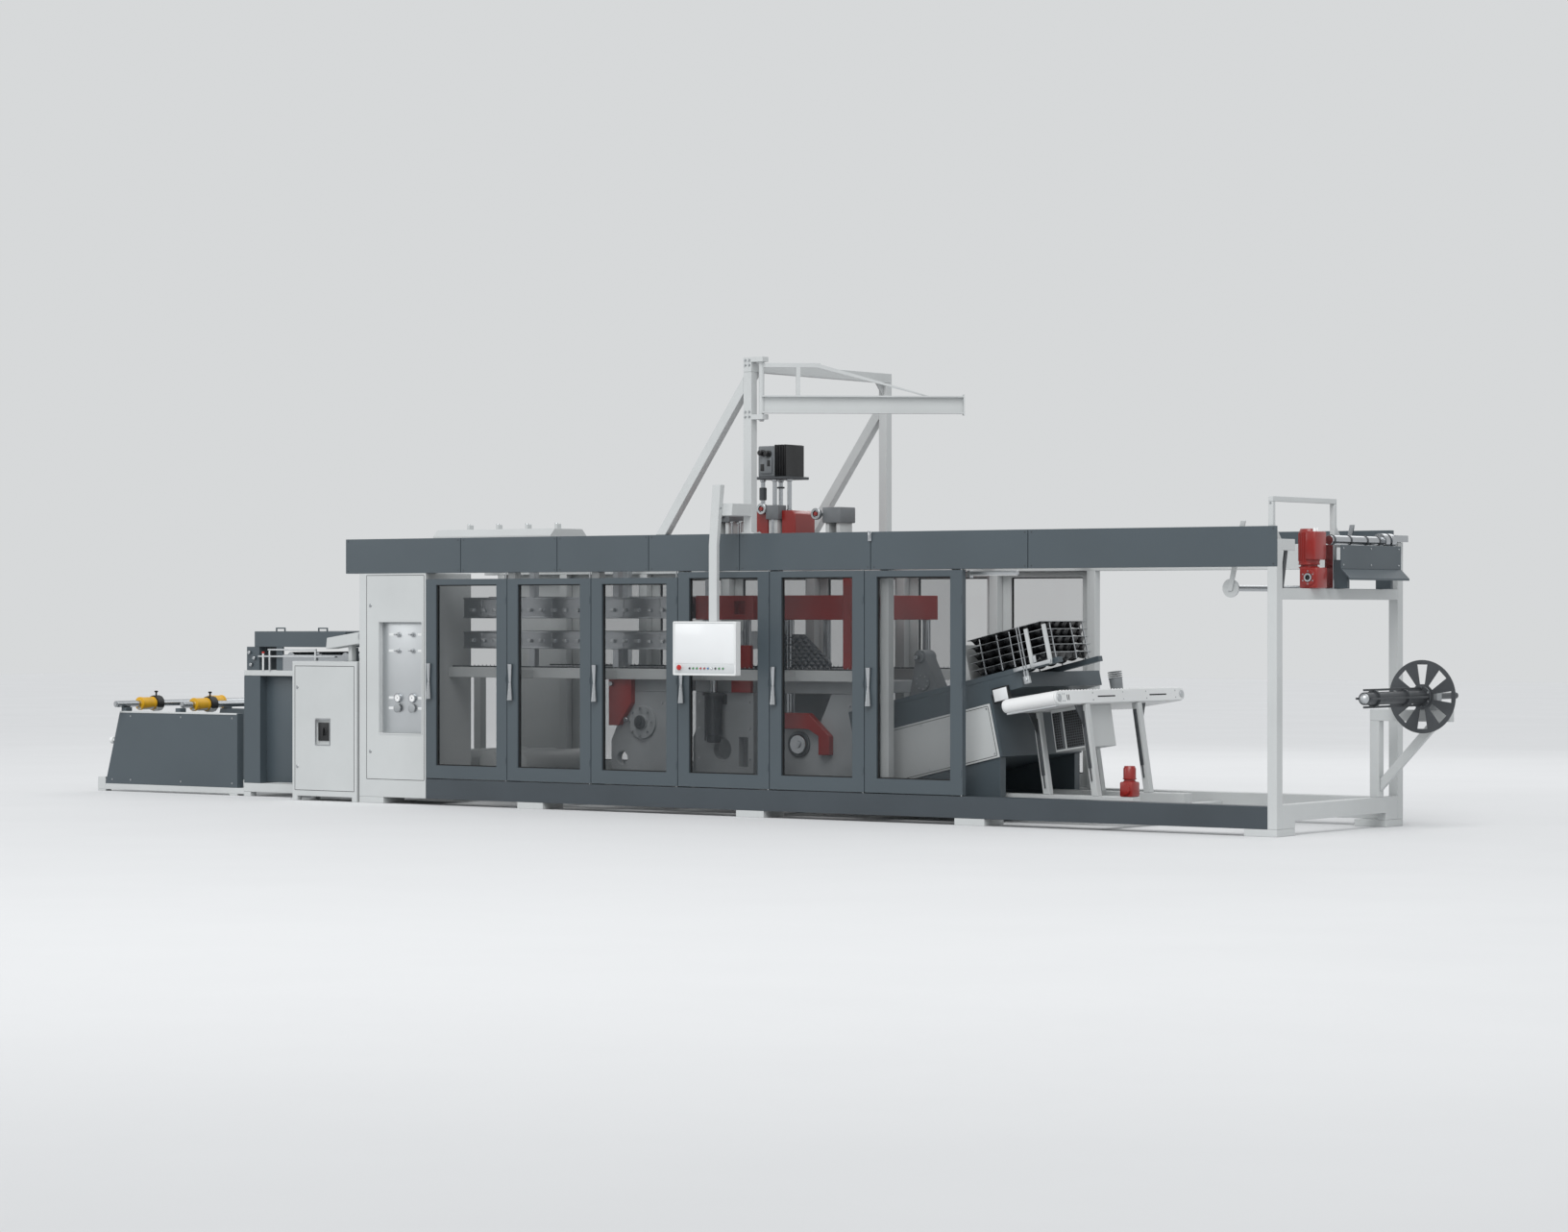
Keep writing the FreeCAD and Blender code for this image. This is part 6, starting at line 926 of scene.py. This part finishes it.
# The unwinder's shafts: chromed bars that carry the sheet's roll between yellow enamelled chucks
# and black clamping collars with a hand screw each.
unwind_x, unwind_z = (-6.34, -5.64), 0.812
found = middles("unwind_shafts")
from_axis = np.min([np.hypot(found[:, 0] - x, found[:, 2] - unwind_z) for x in unwind_x], axis=0)
chuck_enamel = finish("yellow_enamel", "d9a514", 0.38, 8, 0.1, drift_mm=120, spread=0.12, IOR=1.5)
recolour("unwind_shafts", chuck_enamel,
         (from_axis > 0.034) & (from_axis < 0.0585) & (found[:, 2] > 0.75))
recolour("unwind_shafts", black_enamel, (from_axis >= 0.0585) & (found[:, 2] > 0.735))
recolour("unwind_shafts", light_coat, found[:, 2] < 0.775)
band_line = np.array([(0.002, 0.059), (0.006, 0.0615), (0.02, 0.0615), (0.024, 0.059)])
piece("unwind_chuck_bands", [lathe(band_line + (step, 0), (x, y, unwind_z), "Y", 40)
                             for x in unwind_x for y in (-0.38, 0.54) for step in (0, 0.152)],
      chuck_enamel)
piece("unwind_hand_screws", [lathe([(0.07, 0.008), (0.10, 0.008), (0.102, 0.016), (0.112, 0.018),
                                    (0.116, 0.014), (0.117, 0)], (x, -0.16, unwind_z), sides=20)
                             for x in unwind_x], black_rubber)
piece("unwind_shaft_ends", [disc((x, y, unwind_z), "Y", 0.022, -0.012, 0.003, 6)
                            for x, y in zip(unwind_x, (-0.679, -0.519))], zinc_plate)

# The unwinder's frame: slate side sheets on light grey base rails and foot blocks, with a white
# knob on the sloped left end and zinc screws along the sheets' edges.
found = middles("unwinder_frame")
recolour("unwinder_frame", light_coat, (found[:, 2] < 0.0705) | (found[:, 0] < -6.585))
piece("unwinder_knob", [lathe([(0.004, 0.012), (-0.022, 0.012), (-0.026, 0.026), (-0.042, 0.034),
                               (-0.058, 0.03), (-0.066, 0.014), (-0.068, 0)],
                              (-6.468, -0.555, 0.474), "X")], white_coat)
places = [(x, z) for x in (-6.25, -5.60, -4.95) for z in (0.11, 0.70)] + [(-6.49, 0.11)]
piece("unwinder_screws", bolts([(x, -0.58, z) for x, z in places], "Y", 0.006)
      + bolts([(x, 0.82, z) for x, z in places], "Y", 0.006, 1.0), zinc_plate)
piece("unwinder_top_trims", [block((-6.385, y, 0.731), (-4.89, y + 0.01, 0.747), 0.003)
                             for y in (-0.585, 0.815)], light_coat)

# The infeed stand: light grey tubes with a slate closed end, the web's pale side rails over it, a
# dancer arm on its post over the cabinet, and a red-topped sensor rod.
recolour_box("infeed_stand", slate_coat, (-4.795, -0.60, 0.10), (-4.59, 0.84, 1.10))
piece("infeed_inner_sheet", [block((-4.598, -0.50, 0.13), (-3.93, -0.49, 1.085), 0.003)],
      slate_coat)
nose = extrude([(-3.592, 1.338), (-3.117, 1.398), (-3.117, 1.494), (-3.165, 1.494),
                (-3.58, 1.436)], -0.80, 0.16)
piece("infeed_dancer_arm", [nose, block((-3.372, -0.75, 1.229), (-3.33, -0.69, 1.37), 0.004)],
      light_coat, bevel=0.004)
piece("infeed_dancer_hub", [disc((-3.165, -0.799, 1.45), "Y", 0.036, -0.014, 0.003, 40)],
      zinc_plate)
rails = [block((left, -0.60, z), (right, -0.582, z + 0.016), 0.003)
         for left, right, z in ((-4.61, -3.67, 1.258), (-4.49, -3.90, 1.318))]
rails += [block((x, -0.598, 1.139), (x + 0.02, -0.584, 1.32), 0.003) for x in (-4.48, -3.92)]
piece("infeed_side_rails", rails, satin_aluminium)
piece("infeed_sensor_rod", [disc((-4.55, -0.592, 1.139), "Z", 0.009, 0.155)], white_coat)
sensor_lens = finish("sensor_lens_red", "c22a22", 0.3, 3, 0.02, drift_mm=20, spread=0.06, IOR=1.5)
piece("infeed_sensor_tip", [disc((-4.55, -0.592, 1.293), "Z", 0.012, 0.014)], sensor_lens)
piece("infeed_brake_fittings", [disc((x, -0.585, z), "Y", 0.016, -0.02)
                                for x, z in ((-4.70, 1.19), (-4.66, 1.25), (-4.72, 1.30))],
      zinc_plate)

# The gantry, jib and hoop: mitred square tubes with welded gussets; each foot stands on a plate
# that is bolted through the fascia's top, and the jib turns on a chromed pin in its brackets.
feet = ((-0.88, -0.775), (1.015, 1.12))
piece("gantry_foot_plates", [block((1.052, front + 0.001, 2.299), (1.180, rear, 2.311), 0.003)
                             for front, rear in feet], light_coat)
screws = bolts([(x, y, 2.311) for front, rear in feet for x in (1.064, 1.168)
                for y in (front + 0.016, rear - 0.012)], "Z", 0.007, 1.0)
bracket_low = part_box("jib_brackets")[0]
screws += bolts([(x, bracket_low[1], z) for x in (1.096, 1.136)
                 for z in (3.245, 3.285, 3.665, 3.705)] + [(1.10, -1.219, 2.50)], "Y", 0.008)
screws += bolts([(5.94, -0.868, z) for z in (2.24, 2.47)], "Y", 0.006)
piece("frame_bolts", screws, zinc_plate)
mast_x, mast_y, mast_z = 1.231, -0.84, bracket_low[2]
piece("jib_pin_caps", [lathe([(mast_z - 0.001, 0.022), (mast_z - 0.012, 0.022),
                              (mast_z - 0.016, 0.014)], (mast_x, mast_y, 0))], hard_chrome)
c, s = math.cos(math.radians(40)), math.sin(math.radians(40))
spin = np.array([(c, s, 0), (-s, c, 0), (0, 0, 1)])
piece("jib_tip_screws", [(points @ spin + (mast_x, mast_y, 0), faces) for points, faces in bolts(
    [(1.6405, y, z) for y in (-0.018, 0.018) for z in (3.30, 3.346, 3.392)], "X", 0.006, 1.0)],
    zinc_plate, "jib")

# The fascia's toggle latch at its joint over the sixth door, and blind screws along every panel.
piece("fascia_latch", [
    block((2.318, -0.893, 2.225), (2.352, -0.879, 2.302), 0.004),
    block((2.324, -0.899, 2.246), (2.346, -0.891, 2.288), 0.004),
    lathe([(0, 0.009), (-0.012, 0.009), (-0.014, 0.006)], (2.335, -0.893, 2.30), "Y", 20)],
    hard_chrome)
seams = (-3.28, -1.95, -0.88, 0.10, 1.04, 2.34, 3.82, 6.0)
places = [(x, z) for left, right in zip(seams[:-1], seams[1:]) for x in (left + 0.03, right - 0.03)
          for z in (2.02, 2.28)]
piece("fascia_screws", bolts([(x, FRONT, z) for x, z in places], "Y", 0.0035)
      + bolts([(x, REAR, z) for x, z in places if x < 5.9], "Y", 0.0035, 1.0), dark_steel)
piece("cover_lug_caps", [lathe([(2.43, 0.012), (2.437, 0.016), (2.444, 0.012), (2.444, 0)],
                               (-2.746 + 0.336 * i, 0.15, 0), sides=24) for i in range(4)],
      zinc_plate)

# The light tube and its mast at the bay's left post: a clear lamp in an aluminium channel.
piece("bay_lamp", [block((3.16, -0.735, 1.955), (3.62, -0.695, 1.985), 0.006),
                   block((3.16, -0.74, 1.93), (3.19, -0.69, 1.99), 0.004)], satin_aluminium)
piece("bay_lamp_lens", [block((3.19, -0.732, 1.946), (3.61, -0.698, 1.957), 0.004)], dial_white)

# The doors' hinges: three slim knuckles to a leaf, welded to its stile and coated with it, round
# the pins that the frame carries.
for n, body in DOOR_BODY.items():
    hinge_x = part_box(f"door_{n}")[1][0] - 0.0125
    piece(f"door_{n}_knuckles", [disc((hinge_x, FRONT + 0.001, z), "Z", 0.0075, 0.05, 0.001, 20)
                                 for z in (0.38, 1.07, 1.74)], slate_coat, body)
